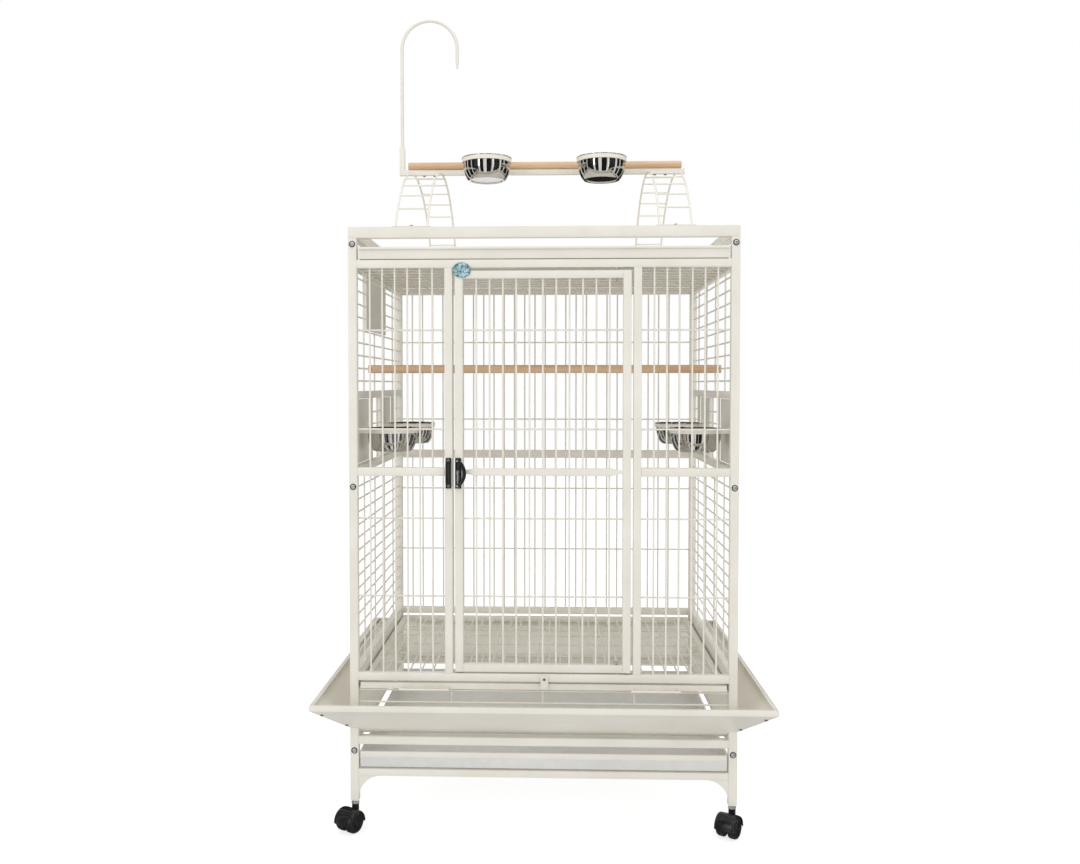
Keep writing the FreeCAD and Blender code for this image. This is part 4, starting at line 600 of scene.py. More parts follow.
def new_tree(name, inputs):
    """A geometry tree that takes a mesh and named inputs (name: socket type)."""
    tree = bpy.data.node_groups.new(name, "GeometryNodeTree")
    tree.interface.new_socket(name="Geometry", in_out="INPUT", socket_type="NodeSocketGeometry")
    for label, kind in inputs.items():
        tree.interface.new_socket(name=label, in_out="INPUT", socket_type=kind)
    tree.interface.new_socket(name="Geometry", in_out="OUTPUT", socket_type="NodeSocketGeometry")
    return tree, tree.nodes.new("NodeGroupInput").outputs, tree.nodes.new("NodeGroupOutput").inputs


def node(tree, kind, settings=None, **inputs):
    """Add a node, set its own settings, and link or set its inputs by name."""
    made = tree.nodes.new(kind)
    for key, value in (settings or {}).items():
        setattr(made, key, value)
    for key, value in inputs.items():
        label = key.replace("_", " ")
        socket = next(s for s in made.inputs if s.name.lower() == label.lower() and s.enabled)
        feed(tree, value, socket)
    return made


def finish_tree(tree, geometry, start, end):
    """Realize the instances and set the material."""
    real = node(tree, "GeometryNodeRealizeInstances", Geometry=geometry).outputs["Geometry"]
    dressed = node(tree, "GeometryNodeSetMaterial", Geometry=real, Material=start["Material"])
    tree.links.new(dressed.outputs["Geometry"], end["Geometry"])
    return tree


def heads_tree():
    """Stand a screw head on every point, facing as the point says, turned at random about its own axis."""
    tree, start, end = new_tree(
        "heads_on_points", {
            "Head": "NodeSocketObject", "Seed": "NodeSocketInt", "Material": "NodeSocketMaterial"
        }
    )
    facing = node(tree, "GeometryNodeInputNamedAttribute", {"data_type": "FLOAT_VECTOR"}, Name="facing")
    reach = node(tree, "GeometryNodeInputNamedAttribute", {"data_type": "FLOAT"}, Name="reach")
    upright = node(
        tree, "FunctionNodeAlignRotationToVector", {"axis": "Z"}, Vector=facing.outputs["Attribute"]
    )
    chance = node(tree, "FunctionNodeRandomValue", {"data_type": "FLOAT"}, Max=FULL_TURN, Seed=start["Seed"])
    spin = node(tree, "FunctionNodeAxisAngleToRotation", Angle=chance.outputs[1])
    turned = node(
        tree, "FunctionNodeRotateRotation", {"rotation_space": "LOCAL"},
        Rotation=upright.outputs["Rotation"], Rotate_By=spin.outputs["Rotation"],
    )
    head = node(tree, "GeometryNodeObjectInfo", Object=start["Head"])
    placed = node(
        tree, "GeometryNodeInstanceOnPoints", Points=start["Geometry"],
        Instance=head.outputs["Geometry"], Rotation=turned.outputs["Rotation"],
        Scale=reach.outputs["Attribute"],
    )
    return finish_tree(tree, placed.outputs["Instances"], start, end)


def ladder_tree():
    """An arched ladder: two bent side wires and evenly spaced rungs between them."""
    lengths = (
        "Arch Radius", "Centre Height", "First Line", "Second Line", "Side Wire", "Rung Wire", "Arch Angle",
        "Rung Angle",
    )
    inputs = {label: "NodeSocketFloat" for label in lengths}
    inputs.update({"Rungs": "NodeSocketInt", "Material": "NodeSocketMaterial"})
    tree, start, end = new_tree("arched_ladder", inputs)

    def value(first, operation, second):
        made = node(tree, "ShaderNodeMath", {"operation": operation})
        feed(tree, first, made.inputs[0])
        feed(tree, second, made.inputs[1])
        return made.outputs[0]

    def arc(angle, points):
        begin = value(math.pi / 2, "SUBTRACT", value(angle, "DIVIDE", 2.0))
        bent = node(
            tree, "GeometryNodeCurveArc", {"mode": "RADIUS"}, Resolution=points,
            Radius=start["Arch Radius"], Start_Angle=begin, Sweep_Angle=angle,
        )
        stood = node(
            tree, "GeometryNodeTransform", Geometry=bent.outputs["Curve"],
            Rotation=(math.pi / 2, 0.0, math.pi / 2),
        )
        lift = node(tree, "ShaderNodeCombineXYZ", Z=start["Centre Height"])
        return node(
            tree, "GeometryNodeTransform", Geometry=stood.outputs["Geometry"],
            Translation=lift.outputs["Vector"]
        ).outputs["Geometry"]

    def piped(curve, radius, resolution):
        ring = node(tree, "GeometryNodeCurvePrimitiveCircle", Resolution=resolution, Radius=radius)
        pipe = node(
            tree, "GeometryNodeCurveToMesh", Curve=curve, Profile_Curve=ring.outputs["Curve"], Fill_Caps=True
        )
        return pipe.outputs["Mesh"]

    side_wire = piped(arc(start["Arch Angle"], 49), start["Side Wire"], 12)
    joined = node(tree, "GeometryNodeJoinGeometry")
    for line in ("First Line", "Second Line"):
        shift = node(tree, "ShaderNodeCombineXYZ", X=start[line])
        moved = node(tree, "GeometryNodeTransform", Geometry=side_wire, Translation=shift.outputs["Vector"])
        tree.links.new(moved.outputs["Geometry"], joined.inputs["Geometry"])
    seats = node(tree, "GeometryNodeResampleCurve", Curve=arc(start["Rung Angle"], 97), Count=start["Rungs"])
    ends = [
        node(tree, "ShaderNodeCombineXYZ", X=start[line]).outputs["Vector"]
        for line in ("First Line", "Second Line")
    ]
    span = node(tree, "GeometryNodeCurvePrimitiveLine", Start=ends[0], End=ends[1])
    rung = piped(span.outputs["Curve"], start["Rung Wire"], 8)
    rungs = node(tree, "GeometryNodeInstanceOnPoints", Points=seats.outputs["Curve"], Instance=rung)
    tree.links.new(rungs.outputs["Instances"], joined.inputs["Geometry"])
    shaded = node(tree, "GeometryNodeSetShadeSmooth", Geometry=joined.outputs["Geometry"])
    return finish_tree(tree, shaded.outputs["Geometry"], start, end)


def ribs_tree():
    """A ring of small ribs around Z, such as the ribs of a wheel's face."""
    tree, start, end = new_tree(
        "ring_of_ribs",
        {"Ribs": "NodeSocketInt", "Ring Radius": "NodeSocketFloat", "Rib Length": "NodeSocketFloat",
         "Rib Width": "NodeSocketFloat", "Rib Height": "NodeSocketFloat", "Material": "NodeSocketMaterial"},
    )
    ring = node(tree, "GeometryNodeMeshCircle", Vertices=start["Ribs"], Radius=start["Ring Radius"])
    size = node(
        tree, "ShaderNodeCombineXYZ", X=start["Rib Length"], Y=start["Rib Width"], Z=start["Rib Height"],
    )
    rib = node(tree, "GeometryNodeMeshCube", Size=size.outputs["Vector"])
    position = node(tree, "GeometryNodeInputPosition")
    outward = node(
        tree, "FunctionNodeAlignRotationToVector", {"axis": "X", "pivot_axis": "Z"},
        Vector=position.outputs["Position"],
    )
    placed = node(
        tree, "GeometryNodeInstanceOnPoints", Points=ring.outputs["Mesh"], Instance=rib.outputs["Mesh"],
        Rotation=outward.outputs["Rotation"],
    )
    return finish_tree(tree, placed.outputs["Instances"], start, end)


TREES = {"heads": heads_tree, "ladder": ladder_tree, "ribs": ribs_tree}
MADE_TREES = {}


def grown(kind, source, **values):
    """Run one of the trees on a source mesh and return the plain mesh that it makes."""
    if kind not in MADE_TREES:
        MADE_TREES[kind] = TREES[kind]()
    tree = MADE_TREES[kind]
    carrier = bpy.data.objects.new("carrier", source)
    bpy.context.scene.collection.objects.link(carrier)
    modifier = carrier.modifiers.new("grow", "NODES")
    modifier.node_group = tree
    for item in tree.interface.items_tree:
        key = item.name.replace(" ", "_").lower()
        if item.in_out == "INPUT" and key in values:
            modifier[item.identifier] = values.pop(key)
    if values:
        raise ValueError(f"the tree {kind} has no input named {sorted(values)}")
    graph = bpy.context.evaluated_depsgraph_get()
    mesh = bpy.data.meshes.new_from_object(carrier.evaluated_get(graph), depsgraph=graph)
    carrier.modifiers.remove(modifier)
    bpy.data.objects.remove(carrier)
    return mesh


# ---------------------------------------------------------------- fixings

def separate_solids(node_name):
    """The vertices of each loose solid of a frame part."""
    form = bmesh.new()
    form.from_mesh(frame["nodes"][node_name].data)
    bmesh.ops.remove_doubles(form, verts=form.verts, dist=MERGE_DISTANCE)
    waiting, solids = set(form.verts), []
    while waiting:
        found, edge = set(), [waiting.pop()]
        while edge:
            vert = edge.pop()
            found.add(vert)
            for link in vert.link_edges:
                other = link.other_vert(vert)
                if other in waiting:
                    waiting.discard(other)
                    edge.append(other)
        solids.append([vert.co.copy() for vert in found])
    form.free()
    return solids


def seats(node_name, facing_of):
    """Where each fixing of a frame part sits, the way it faces, and its radius."""
    found = []
    for points in separate_solids(node_name):
        middle = sum(points, Vector()) / len(points)
        facing = Vector(facing_of(middle)).normalized()
        foot = min(point.dot(facing) for point in points)
        seat = middle + facing * (foot - middle.dot(facing))
        across = [(point - middle) - facing * (point - middle).dot(facing) for point in points]
        found.append((seat, facing, max(offset.length for offset in across)))
    return sorted(found, key=lambda item: tuple(round(axis, 4) for axis in item[0]))


def points_mesh(places):
    """Points that carry which way their fixing faces and how large it is."""
    mesh = bpy.data.meshes.new("fixing_points")
    mesh.from_pydata([seat for seat, _, _ in places], [], [])
    facing = mesh.attributes.new("facing", "FLOAT_VECTOR", "POINT")
    facing.data.foreach_set("vector", [axis for _, direction, _ in places for axis in direction])
    reach = mesh.attributes.new("reach", "FLOAT", "POINT")
    reach.data.foreach_set("value", [radius for _, _, radius in places])
    return mesh


def head_template(profile, sides=24):
    """A screw head of unit radius with a hexagon socket, for the tree to copy."""
    form = bmesh.new()
    add_turned(form, profile, sides)
    form.verts.ensure_lookup_table()
    socket = [vert for vert in form.verts if POLE < vert.co.to_2d().length < 0.36 and vert.co.z < 0.62]
    for vert in socket:
        angle = math.atan2(vert.co.y, vert.co.x) % (FULL_TURN / 6)
        flat = math.cos(FULL_TURN / 12) / math.cos(angle - FULL_TURN / 12)
        vert.co.xy = vert.co.xy * flat
    head = bpy.data.objects.new("head_template", as_mesh("head_template", form))
    bpy.context.scene.collection.objects.link(head)
    return head


WASHER_PROFILE = ((1.0, 0.0), (1.0, 0.09), (0.97, 0.12), (0.70, 0.13), (0.0, 0.13))
HEAD_PROFILE = (
    (0.72, 0.0), (0.72, 0.30), (0.68, 0.42), (0.58, 0.54), (0.44, 0.61), (0.36, 0.615), (0.33, 0.60),
    (0.32, 0.34), (0.0, 0.30),
)
SCREW_PROFILE = (
    (1.0, 0.0), (1.0, 0.09), (0.97, 0.12), (0.80, 0.13), (0.79, 0.30), (0.74, 0.42), (0.62, 0.54),
    (0.46, 0.61), (0.38, 0.615), (0.35, 0.60), (0.34, 0.34), (0.0, 0.30),
)


def add_fixings(node_name, facing_of, seed, profile, material):
    """Stand a turned profile on every seat that a frame part's plain fixings mark."""
    head = head_template(profile)
    mesh = grown("heads", points_mesh(seats(node_name, facing_of)), head=head, seed=seed, material=material)
    bpy.data.objects.remove(head)
    return mesh


def add_screw(form, profile, radius, seat):
    """A turned screw head that faces the front."""
    points = [(0.0, 0.0), *((radius * across, radius * out) for across, out in profile)]
    add_turned(form, points, 16, Matrix.Translation(seat) @ FACE_FRONT)


# ---------------------------------------------------------------- operators

class FrameTubes(bpy.types.Operator):
    """Round the edges of the welded square tubes and powder-coat them"""

    bl_idname = "birdcage.frame_tubes"
    bl_label = "Frame tubes"

    def execute(self, context):
        for name in TUBE_NODES:
            mesh = rounded_copy(name, sizes().tube_edge, 60 * MM)
            finished(f"{name}_coated", mesh, body_of(name), coat_material("tube"), (name,))
        return {"FINISHED"}


class CageWires(bpy.types.Operator):
    """Powder-coat the welded bars, fences, grate and bowl rings"""

    bl_idname = "birdcage.wires"
    bl_label = "Bars and grate"

    def execute(self, context):
        for name in WIRE_NODES:
            paint(name, coat_material("wire"))
        paint("grate_handles", coat_material("wire"))
        paint("grate_tab", coat_material("sheet"))
        return {"FINISHED"}


class FoldedSheets(bpy.types.Operator):
    """Soften and finish the seed guard, runners, trays and small doors"""

    bl_idname = "birdcage.sheets"
    bl_label = "Seed guard, trays and doors"

    def execute(self, context):
        for name in SHEET_NODES:
            mesh = rounded_copy(name, sizes().sheet_edge, 30 * MM)
            finished(f"{name}_coated", mesh, body_of(name), coat_material("sheet"), (name,))
        mesh = rounded_copy("droppings_tray", sizes().sheet_edge, 30 * MM)
        tray = "droppings_tray"
        finished("droppings_tray_plated", mesh, tray, zinc_material("tray"), (tray,))
        self.tray_band()
        self.tray_bead()
        for name in SMALL_DOOR_NODES:
            paint(name, coat_material("sheet"))
        paint("nest_latch", black_material())
        paint("hinge_pins", zinc_material("fixing"))
        return {"FINISHED"}

    def tray_band(self):
        """A half-round band along the top of the droppings tray's front."""
        low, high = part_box("droppings_tray")
        tall, proud, inset, clear = 14 * MM, 1.9 * MM, 1 * MM, 0.05 * MM
        angles = [math.pi * (step / 12 - 0.5) for step in range(13)]
        outline = [(proud * math.cos(angle), tall / 2 * math.sin(angle)) for angle in angles]
        corner = Matrix.Translation((low.x + inset, low.y - clear, high.z - tall / 2))
        form = bmesh.new()
        add_slab(form, outline, high.x - low.x - 2 * inset, corner @ RUN_ALONG_X, 0)
        finished("tray_front_band", form, "droppings_tray", coat_material("sheet"))

    def tray_bead(self):
        """A round bead along the top of the play-top tray's front."""
        low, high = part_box("play_top_tray")
        radius, inset, clear = 3.2 * MM, 1 * MM, 0.02 * MM
        span = high.x - low.x - 2 * inset
        start = Matrix.Translation((low.x + inset, low.y - radius - clear, high.z - radius)) @ LIE_ALONG_X
        form = bmesh.new()
        add_turned(form, [(0.0, 0.0), (radius, 0.0), (radius, span), (0.0, span)], 20, start)
        finished("top_tray_front_bead", form, "play_top_tray", coat_material("sheet"))


class Fixings(bpy.types.Operator):
    """Stand socket-head bolts and screws on the posts, guard, ladders and latch"""

    bl_idname = "birdcage.fixings"
    bl_label = "Bolts and screws"

    def execute(self, context):
        def bolt_facing(seat):
            return 0, math.copysign(1, seat.y), 0

        def screw_facing(seat):
            if seat.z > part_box("top_rim")[1].z + 100 * MM:
                return 0, 0, -1
            if seat.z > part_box("top_rim")[1].z - 20 * MM:
                return 0, 0, 1
            if seat.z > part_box("grate")[1].z:
                return 0, -1, 0
            guard_low, guard_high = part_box("seed_guard_front")
            rise = guard_high.z - guard_low.z - 12 * MM
            return 0, math.copysign(rise, seat.y), -(guard_high.y - guard_low.y)

        bright = zinc_material("fixing")
        dark, grey = dull_zinc_material("washer"), dull_zinc_material("screw")
        for name, node_name, facing_of, seed, profile, material in (
            ("socket_head_bolts", "frame_bolts", bolt_facing, 3, HEAD_PROFILE, bright),
            ("bolt_washers", "frame_bolts", bolt_facing, 3, WASHER_PROFILE, dark),
            ("socket_head_screws", "small_screws", screw_facing, 5, SCREW_PROFILE, grey),
        ):
            mesh = add_fixings(node_name, facing_of, seed, profile, material)
            stands_for = () if profile is WASHER_PROFILE else (node_name,)
            finished(name, mesh, "cage", material, stands_for)
        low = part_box("grate_tab")[0]
        form = bmesh.new()
        add_screw(form, SCREW_PROFILE, 3.2 * MM, (low.x + 9 * MM, low.y - 0.2 * MM, low.z + 23 * MM))
        finished("grate_tab_screw", form, body_of("grate"), grey)
        return {"FINISHED"}


class Bowls(bpy.types.Operator):
    """Spin the polished steel bowls with rolled rims"""

    bl_idname = "birdcage.bowls"
    bl_label = "Steel bowls"

    def execute(self, context):
        wall = sizes().bowl_wall
        for name in BOWL_NODES:
            low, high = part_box(name)
            middle = (low + high) / 2
            rim, height = (high.x - low.x) / 2, high.z - low.z
            body, base = rim - 3.4 * MM, rim * 0.735
            bead = 1.5 * MM
            outside = [(0.0, 2.2 * MM), *points_from(base, 0, (-9, 2.2), (-7, 0.3), (-5, 0), (-1.6, 0))]
            for step in range(1, 14):
                widening = 1 - (1 - step / 14) ** 2.7
                level = 0.5 * MM + (height - 7 * MM) * step / 14
                outside.append((base + (body - base) * widening, level))
            outside += [(body, height - 6.5 * MM), (body, height - 3.2 * MM)]
            roll = [
                (rim - bead + bead * math.sin(angle), height - bead - bead * math.cos(angle))
                for angle in [step * math.pi / 5 for step in range(1, 5)]
            ]
            inside = points_from(rim, height, (-3.2, -0.3))
            inside += points_from(body - wall, height, (0, -1.6), (0, -6))
            inside += [(radius - wall, level + wall) for radius, level in reversed(outside[5:-2])]
            inside += [(base - 4 * MM, 1.6 * MM + wall), (0.0, 2.2 * MM + wall)]
            form = bmesh.new()
            add_turned(form, outside + roll + inside, 64, Matrix.Translation((middle.x, middle.y, low.z)))
            finished(f"{name}_polished", form, body_of(name), steel_material(), (name,))
        return {"FINISHED"}


class Ladders(bpy.types.Operator):
    """Bend the two arched ladders of the play top and weld their rungs"""

    bl_idname = "birdcage.ladders"
    bl_label = "Arched ladders"

    def execute(self, context):
        for label in SIDES:
            name = f"ladder_{label}"
            low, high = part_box(name)
            foot_width = high.x - low.x
            middle = (low.x + high.x) / 2
            half_gap = 37.5 * MM
            radius = 411.5 * MM
            centre = high.z - sizes().ladder_wire - radius
            foot_line = high.y - 9 * MM
            arch = 2 * math.asin(foot_line / radius)
            rungs = 14
            step = math.radians(7.5)
            mesh = grown(
                "ladder", bpy.data.meshes.new("seed"), arch_radius=radius, centre_height=centre,
                first_line=middle - half_gap, second_line=middle + half_gap, side_wire=sizes().ladder_wire,
                rung_wire=sizes().rung_wire, arch_angle=arch, rung_angle=(rungs - 1) * step, rungs=rungs,
                material=coat_material("wire"),
            )
            form = bmesh.new()
            form.from_mesh(mesh)
            cut_plane = {"plane_co": (0, 0, low.z + 0.2 * MM), "plane_no": (0, 0, 1)}
            bmesh.ops.bisect_plane(
                form, geom=form.verts[:] + form.edges[:] + form.faces[:], clear_inner=True, **cut_plane
            )
            for line in (-foot_line, foot_line):
                add_block(
                    form, (middle - foot_width / 2, line - 9 * MM, low.z),
                    (middle + foot_width / 2, line + 9 * MM, low.z + 2 * MM), 0.6 * MM,
                )
            finished(f"{name}_welded", form, "cage", coat_material("wire"), (name,))
        return {"FINISHED"}


class Perches(bpy.types.Operator):
    """Turn the wooden dowels, with chamfered ends, and finish the notched inside perch"""

    bl_idname = "birdcage.perches"
    bl_label = "Wooden perches"

    def execute(self, context):
        low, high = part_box("top_perch")
        radius, half, chamfer = (high.z - low.z) / 2, (high.x - low.x) / 2, sizes().perch_chamfer
        stations = 40
        profile = [(0.0, -half), (radius - chamfer, -half)]
        for step in range(stations + 1):
            wobble = 0.12 * MM * (math.sin(step * 1.7) + math.sin(step * 0.6 + 1)) / 2
            profile.append((radius - 0.12 * MM + wobble, (2 * step / stations - 1) * (half - chamfer)))
        profile += [(radius - chamfer, half), (0.0, half)]
        place = Matrix.Translation((0, 0, (low.z + high.z) / 2)) @ LIE_ALONG_X
        form = bmesh.new()
        add_turned(form, profile, 32, place)
        finished("top_perch_dowel", form, "cage", wood_material(), ("top_perch",))
        mesh = rounded_copy("inside_perch", 0.8 * MM, 5 * MM)
        finished("inside_perch_dowel", mesh, "cage", wood_material(), ("inside_perch",))
        return {"FINISHED"}


class ToyHook(bpy.types.Operator):
    """Bend the toy hook's rod over and draw its end out slim"""

    bl_idname = "birdcage.toy_hook"
    bl_label = "Toy hook"

    def execute(self, context):
        low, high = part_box("toy_hook")
        wire = sizes().hook_wire
        leg, drop = low.x + wire, high.x - wire
        bend = (drop - leg) / 2
        centre = high.z - wire - bend
        points = [(leg, 0, low.z), (leg, 0, (low.z + centre) / 2)]
        points += [
            (
                leg + bend - bend * math.cos(step * math.pi / 32), 0,
                centre + bend * math.sin(step * math.pi / 32),
            )
            for step in range(33)
        ]
        straight = len(points)
        points += [(drop, 0, centre - 32 * MM), (drop, 0, centre - 45 * MM), (drop, 0, centre - 53.2 * MM)]
        points.append((drop, 0, centre - 54 * MM))
        radii = [wire] * straight + [wire, wire * 0.72, sizes().hook_tip, sizes().hook_tip * 0.6]
        mesh = wire_mesh("toy_hook", points, radii)
        finished("toy_hook_rod", mesh, "toy_hook", coat_material("wire"), ("toy_hook",))
        return {"FINISHED"}


class Latch(bpy.types.Operator):
    """Shape the door's black latch, its strike and the bright lever"""

    bl_idname = "birdcage.latch"
    bl_label = "Door latch"

    def execute(self, context):
        low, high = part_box("latch_housing")
        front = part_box("door_frame")[0].y
        middle = (high.z + low.z) / 2
        base_width, base_depth, guard_depth, screw = 14 * MM, 3 * MM, 12 * MM, 3 * MM
        place = Matrix.Translation((0, front, 0)) @ FACE_FRONT
        form = bmesh.new()
        add_slab(form, rectangle(low.x, low.z, low.x + base_width, high.z), base_depth, place, 0.9 * MM)
        outer, inner, flat, centre = 38.4 * MM, 30.5 * MM, 14.2 * MM, low.x - 12 * MM
        guard = arc_points(centre, middle, outer, math.acos(flat / outer))
        guard += arc_points(centre, middle, inner, -math.acos(flat / inner))
        add_slab(form, guard, guard_depth, Matrix.Translation((0, -base_depth, 0)) @ place, 1.6 * MM)
        for offset in (2 * MM, 10.3 * MM):
            corner = (low.x + offset, front - 9 * MM, low.z + 38 * MM)
            add_block(form, corner, (corner[0] + 1.7 * MM, front - 2.5 * MM, corner[2] + 8 * MM), 0.4 * MM)
        pin = Matrix.Translation((low.x + 6.5 * MM, front - 6 * MM, low.z + 42 * MM)) @ LIE_ALONG_X
        add_turned(form, points_from(0, 0, (0, -4.5), (1, -4.5), (1, 4.5), (0, 4.5)), 12, pin)
        finished("door_latch", form, "door", black_material(), ("latch_housing",))
        form = bmesh.new()
        for side in (-1, 1):
            seat = (low.x + 6 * MM, front - base_depth - guard_depth, middle + side * 29.3 * MM)
            add_screw(form, HEAD_PROFILE, screw, seat)
        finished("latch_screws", form, "door", zinc_material("fixing"))

        low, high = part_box("strike_plate")
        end = 12 * MM
        form = bmesh.new()
        add_slab(form, rectangle(low.x, low.z, high.x, high.z), base_depth, place, 0.9 * MM)
        add_slab(form, rectangle(low.x, low.z + end, high.x, high.z - end), 9 * MM, place, 1.8 * MM)
        finished("door_strike", form, "cage", black_material(), ("strike_plate",))
        form = bmesh.new()
        for height in (low.z + end / 2, high.z - end / 2):
            add_screw(form, HEAD_PROFILE, screw, ((low.x + high.x) / 2, front - base_depth, height))
        finished("strike_screws", form, "cage", zinc_material("fixing"))

        mesh = rounded_copy("latch_lever", 0.8 * MM, 4 * MM)
        finished("latch_lever_plated", mesh, "latch_lever", lever_material(), ("latch_lever",))
        return {"FINISHED"}


class Badge(bpy.types.Operator):
    """Press the plain oval badge with its raised rim"""

    bl_idname = "birdcage.badge"
    bl_label = "Oval badge"

    def execute(self, context):
        low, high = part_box("badge")
        wide, tall, thick = (high.x - low.x) / 2, (high.z - low.z) / 2, 2.5 * MM
        profile = [
            (0.0, 0.0), (wide, 0.0), (wide, thick * 0.5), (
                wide * 0.975, thick * 0.8
            ), (wide * 0.93, thick * 0.82),
            (wide * 0.9, thick * 0.5), (wide * 0.8, thick * 0.66), (wide * 0.5, thick * 0.9), (0.0, thick),
        ]
        place = (
            Matrix.Translation(((low.x + high.x) / 2, low.y + thick, (low.z + high.z) / 2))
            @ FACE_FRONT @ Matrix.Diagonal((1, tall / wide, 1, 1))
        )
        form = bmesh.new()
        add_turned(form, profile, 48, place)
        finished("oval_badge", form, "door", badge_material(), ("badge",))
        return {"FINISHED"}


class Casters(bpy.types.Operator):
    """Mould the hooded twin-wheel casters and their sockets"""

    bl_idname = "birdcage.casters"
    bl_label = "Casters"

    def execute(self, context):
        post_low, post_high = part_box("corner_posts")
        swivel = (post_high.x - 10 * MM, post_high.y - 10 * MM)
        for end_name, end in ENDS.items():
            for side_name, side in SIDES.items():
                place = (
                    Matrix.Translation((side * swivel[0], end * swivel[1], 0))
                    @ Matrix.Rotation(sizes().caster_turn, 4, "Z")
                )
                label = f"{end_name}_{side_name}"
                self.hood(label, place, post_low.z)
                self.wheels(label, place)
        paint("caster_sockets", socket_material())
        return {"FINISHED"}

    def hood(self, label, place, post_foot):
        """The hood, the web between the wheels, the neck and the bright stem."""
        radius, body = sizes().hood_radius, f"caster_{label}"
        half, shell, web_foot = 27 * MM, 1.1 * MM, 14 * MM
        across = place @ Matrix.Translation((0, -sizes().caster_trail, sizes().wheel_radius)) @ LIE_ALONG_X
        outer = points_from(radius, -half, (-9, 0.2), (-5, 0.4), (-2.6, 1.4), (-1, 4), (-0.2, 10), (0, 24))
        outer += [(reach, -along) for reach, along in reversed(outer)]
        form = bmesh.new()
        add_turned(form, outer, 40, start=math.radians(86), sweep=math.radians(188))
        bmesh.ops.solidify(form, geom=form.faces[:], thickness=shell)
        bmesh.ops.recalc_face_normals(form, faces=form.faces)
        bmesh.ops.transform(form, matrix=across, verts=form.verts)
        web = points_from(radius, 0, (-2, -3.4), (-1.2, -2.6), (-1.2, 2.6), (-2, 3.4))
        made = bmesh.new()
        add_turned(made, [(0.0, -3.4 * MM), *web, (0.0, 3.4 * MM)], 40)
        bmesh.ops.transform(made, matrix=across, verts=made.verts)
        everything = made.verts[:] + made.edges[:] + made.faces[:]
        bmesh.ops.bisect_plane(
            made, geom=everything, plane_co=(0, 0, web_foot), plane_no=(0, 0, 1), clear_inner=True
        )
        bmesh.ops.holes_fill(made, edges=[edge for edge in made.edges if edge.is_boundary])
        part = bpy.data.meshes.new("web")
        made.to_mesh(part)
        made.free()
        form.from_mesh(part)
        add_turned(form, points_from(0, 0, (0, 44), (8.4, 44), (8.4, 60), (7.4, 61.5), (0, 61.5)), 32, place)
        finished(f"caster_hood_{label}", form, body, black_material(), (body,))
        stem = points_from(0, 0, (0, 61), (9, 61), (9.6, 61.8), (9.6, 64), (8.6, 65), (6, 65.4), (5.5, 66))
        stem += points_from(0, post_foot, (5.5, 37), (4.5, 38), (0, 38))
        form = bmesh.new()
        add_turned(form, stem, 32, place)
        finished(f"caster_stem_{label}", form, body, zinc_material("fixing"))

    def wheels(self, label, place):
        """Two rounded wheels with ribbed faces on one axle."""
        radius, width = sizes().wheel_radius, sizes().wheel_width
        profile = points_from(0, 0, (0, 0.3))
        profile += points_from(radius, 0, (-3, 0.3), (-0.9, 1.3), (-0.1, 3.4), (0, 6))
        profile += points_from(
            radius, width, (0, -8), (-0.4, -5), (-1.7, -2.4), (-4, -0.9), (-6.4, -0.5), (-7.4, -1.6)
        )
        profile += points_from(0, width, (6.5, -2.2), (5.6, -0.8), (3, -0.2), (0, -0.1))
        across = place @ Matrix.Translation((0, -sizes().caster_trail, radius)) @ LIE_ALONG_X
        form = bmesh.new()
        for side in SIDES.values():
            turn = Matrix() if side > 0 else Matrix.Rotation(math.pi, 4, "X")
            stand = across @ turn @ Matrix.Translation((0, 0, 5 * MM))
            add_turned(form, profile, 48, stand)
            ribs = grown(
                "ribs", bpy.data.meshes.new("seed"), ribs=12, ring_radius=12 * MM, rib_length=10.5 * MM,
                rib_width=1.4 * MM, rib_height=1.6 * MM, material=tread_material(),
            )
            ribs.transform(stand @ Matrix.Translation((0, 0, width - 2.0 * MM)))
            form.from_mesh(ribs)
        axle = points_from(0, 0, (0, -5.2), (3, -5.2), (3, 5.2), (0, 5.2))
        add_turned(form, axle, 24, across)
        name = f"wheels_{label}"
        finished(f"{name}_treaded", form, name, tread_material(), (name,))


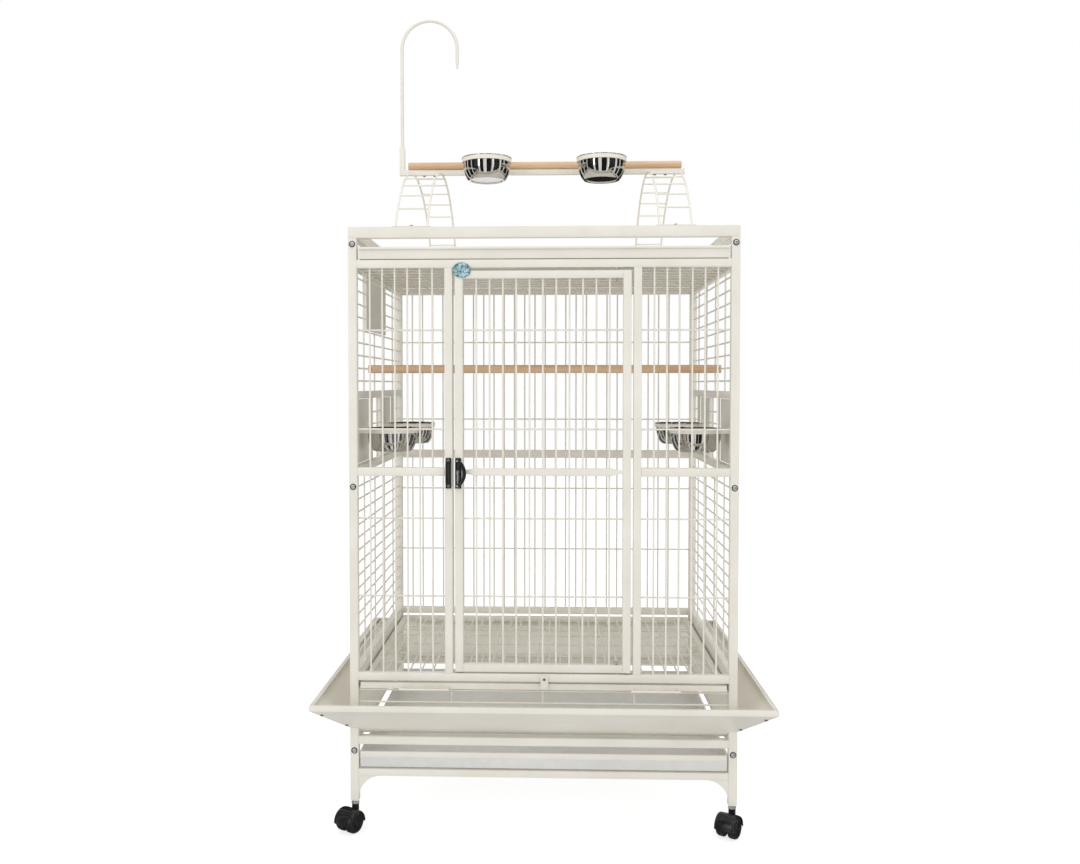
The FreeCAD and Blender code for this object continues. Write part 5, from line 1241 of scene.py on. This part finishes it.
class Studio(bpy.types.Operator):
    """Lay the pale floor, set the soft lights and stand the camera"""

    bl_idname = "birdcage.studio"
    bl_label = "Studio"

    def execute(self, context):
        scene = context.scene
        form = bmesh.new()
        bmesh.ops.create_circle(form, cap_ends=True, radius=14, segments=96)
        floor = bpy.data.objects.new("studio_floor", as_mesh("studio_floor", form))
        scene.collection.objects.link(floor)
        floor.data.materials.append(self.plain("pale_floor", 0.42, 0.9, specular=0.0, glow=0.75))
        floor.visible_glossy = False
        floor.visible_diffuse = False
        self.flags(scene)
        self.light(scene, "overhead", (0, -0.4, 4.4), (0, 0, 0), 4.0, 40)
        self.light(scene, "key", (-3.2, -3.6, 2.0), (0, 0, 0.9), 2.6, 40)
        self.light(scene, "fill", (3.4, -3.0, 1.4), (0, 0, 0.9), 2.6, 26)
        world = bpy.data.worlds.new("studio_white")
        scene.world = world
        world.use_nodes = True
        background = next(item for item in world.node_tree.nodes if item.type == "BACKGROUND")
        background.inputs["Color"].default_value = (1, 1, 1, 1)
        tree = world.node_tree
        sight = tree.nodes.new("ShaderNodeLightPath").outputs
        seen = tree.nodes.new("ShaderNodeMath")
        seen.operation = "MAXIMUM"
        tree.links.new(sight["Is Camera Ray"], seen.inputs[0])
        tree.links.new(sight["Is Glossy Ray"], seen.inputs[1])
        strength = spread(tree, seen.outputs[0], 0.0, 1.0, 0.77, 1.0)
        tree.links.new(strength, background.inputs["Strength"])
        scene.view_settings.view_transform = "Standard"
        self.camera(scene)
        return {"FINISHED"}

    def plain(self, name, tone, roughness, specular=0.5, glow=0.0):
        """A plain grey studio material that may glow white."""
        material = bpy.data.materials.new(name)
        material.use_nodes = True
        shader = next(item for item in material.node_tree.nodes if item.type == "BSDF_PRINCIPLED")
        shader.inputs["Base Color"].default_value = (tone, tone, tone, 1)
        shader.inputs["Roughness"].default_value = roughness
        shader.inputs["Specular IOR Level"].default_value = specular
        shader.inputs["Emission Color"].default_value = (1, 1, 1, 1)
        shader.inputs["Emission Strength"].default_value = glow
        return material

    def flags(self, scene):
        """Tall dark gores, seen only in reflections, that give polished steel its dark streaks."""
        form = bmesh.new()
        distance, middle, steps = 3.6, 1.2, 12
        foot, top = math.radians(-84), math.radians(55)
        azimuth = 0.0
        for number in range(26):
            wide = math.radians(25.0 + 9.0 * math.sin(number * 2.3))
            gap = math.radians(7.0 + 3.5 * math.sin(number * 1.3 + 1))
            if azimuth + wide > FULL_TURN:
                break
            edges = []
            for step in range(steps + 1):
                rise = foot + (top - foot) * step / steps
                reach, height = distance * math.cos(rise), middle + distance * math.sin(rise)
                edges.append([
                    form.verts.new((reach * math.sin(a), -reach * math.cos(a), height))
                    for a in (azimuth, azimuth + wide)
                ])
            for below, above in zip(edges, edges[1:]):
                form.faces.new((below[0], below[1], above[1], above[0]))
            azimuth += wide + gap
        cards = bpy.data.objects.new("studio_flags", as_mesh("studio_flags", form))
        scene.collection.objects.link(cards)
        cards.data.materials.append(self.plain("dark_flags", 0.01, 1.0))
        cards.visible_camera = False
        cards.visible_diffuse = False
        cards.visible_shadow = False
        cards.visible_transmission = False

    def light(self, scene, name, place, aim, size, energy):
        """A square softbox that faces a point."""
        lamp = bpy.data.lights.new(name, "AREA")
        lamp.size = size
        lamp.energy = energy
        holder = bpy.data.objects.new(name, lamp)
        scene.collection.objects.link(holder)
        holder.location = place
        holder.rotation_euler = (Vector(aim) - Vector(place)).to_track_quat("-Z", "Y").to_euler()

    def camera(self, scene):
        """A camera a little above the middle rail, in front and turned slightly left."""
        lens = bpy.data.cameras.new("camera")
        lens.sensor_width = 36.0
        lens.lens = 32.95
        lens.shift_x = 0.0189
        lens.shift_y = -0.0172
        holder = bpy.data.objects.new("camera", lens)
        scene.collection.objects.link(holder)
        holder.location = (0.02437, -2.66617, 1.05996)
        holder.rotation_euler = (math.pi / 2 - 0.0291, 0, 0.034)
        scene.camera = holder


OPERATORS = (
    FrameTubes, CageWires, FoldedSheets, Fixings, Bowls, Ladders, Perches, ToyHook, Latch, Badge,
    Casters, Studio,
)


class CagePanel(bpy.types.Panel):
    """The cage's builders, sizes and colours"""

    bl_idname = "VIEW3D_PT_birdcage"
    bl_label = "Bird cage on stand"
    bl_space_type = "VIEW_3D"
    bl_region_type = "UI"
    bl_category = "Bird cage"

    def draw(self, context):
        for operator in OPERATORS:
            self.layout.operator(operator.bl_idname)
        for settings in (context.scene.cage_sizes, context.scene.cage_colours):
            box = self.layout.box()
            for key in settings.__annotations__:
                box.prop(settings, key)


CLASSES = (CageSizes, CageColours, *OPERATORS, CagePanel)


def register():
    for item in CLASSES:
        bpy.utils.register_class(item)
    bpy.types.Scene.cage_sizes = bpy.props.PointerProperty(type=CageSizes)
    bpy.types.Scene.cage_colours = bpy.props.PointerProperty(type=CageColours)


def unregister():
    del bpy.types.Scene.cage_colours
    del bpy.types.Scene.cage_sizes
    for item in reversed(CLASSES):
        bpy.utils.unregister_class(item)


def main():
    """Register and build every piece in order."""
    register()
    for operator in OPERATORS:
        group, name = operator.bl_idname.split(".")
        getattr(getattr(bpy.ops, group), name)()


if __name__ == "__main__":
    main()
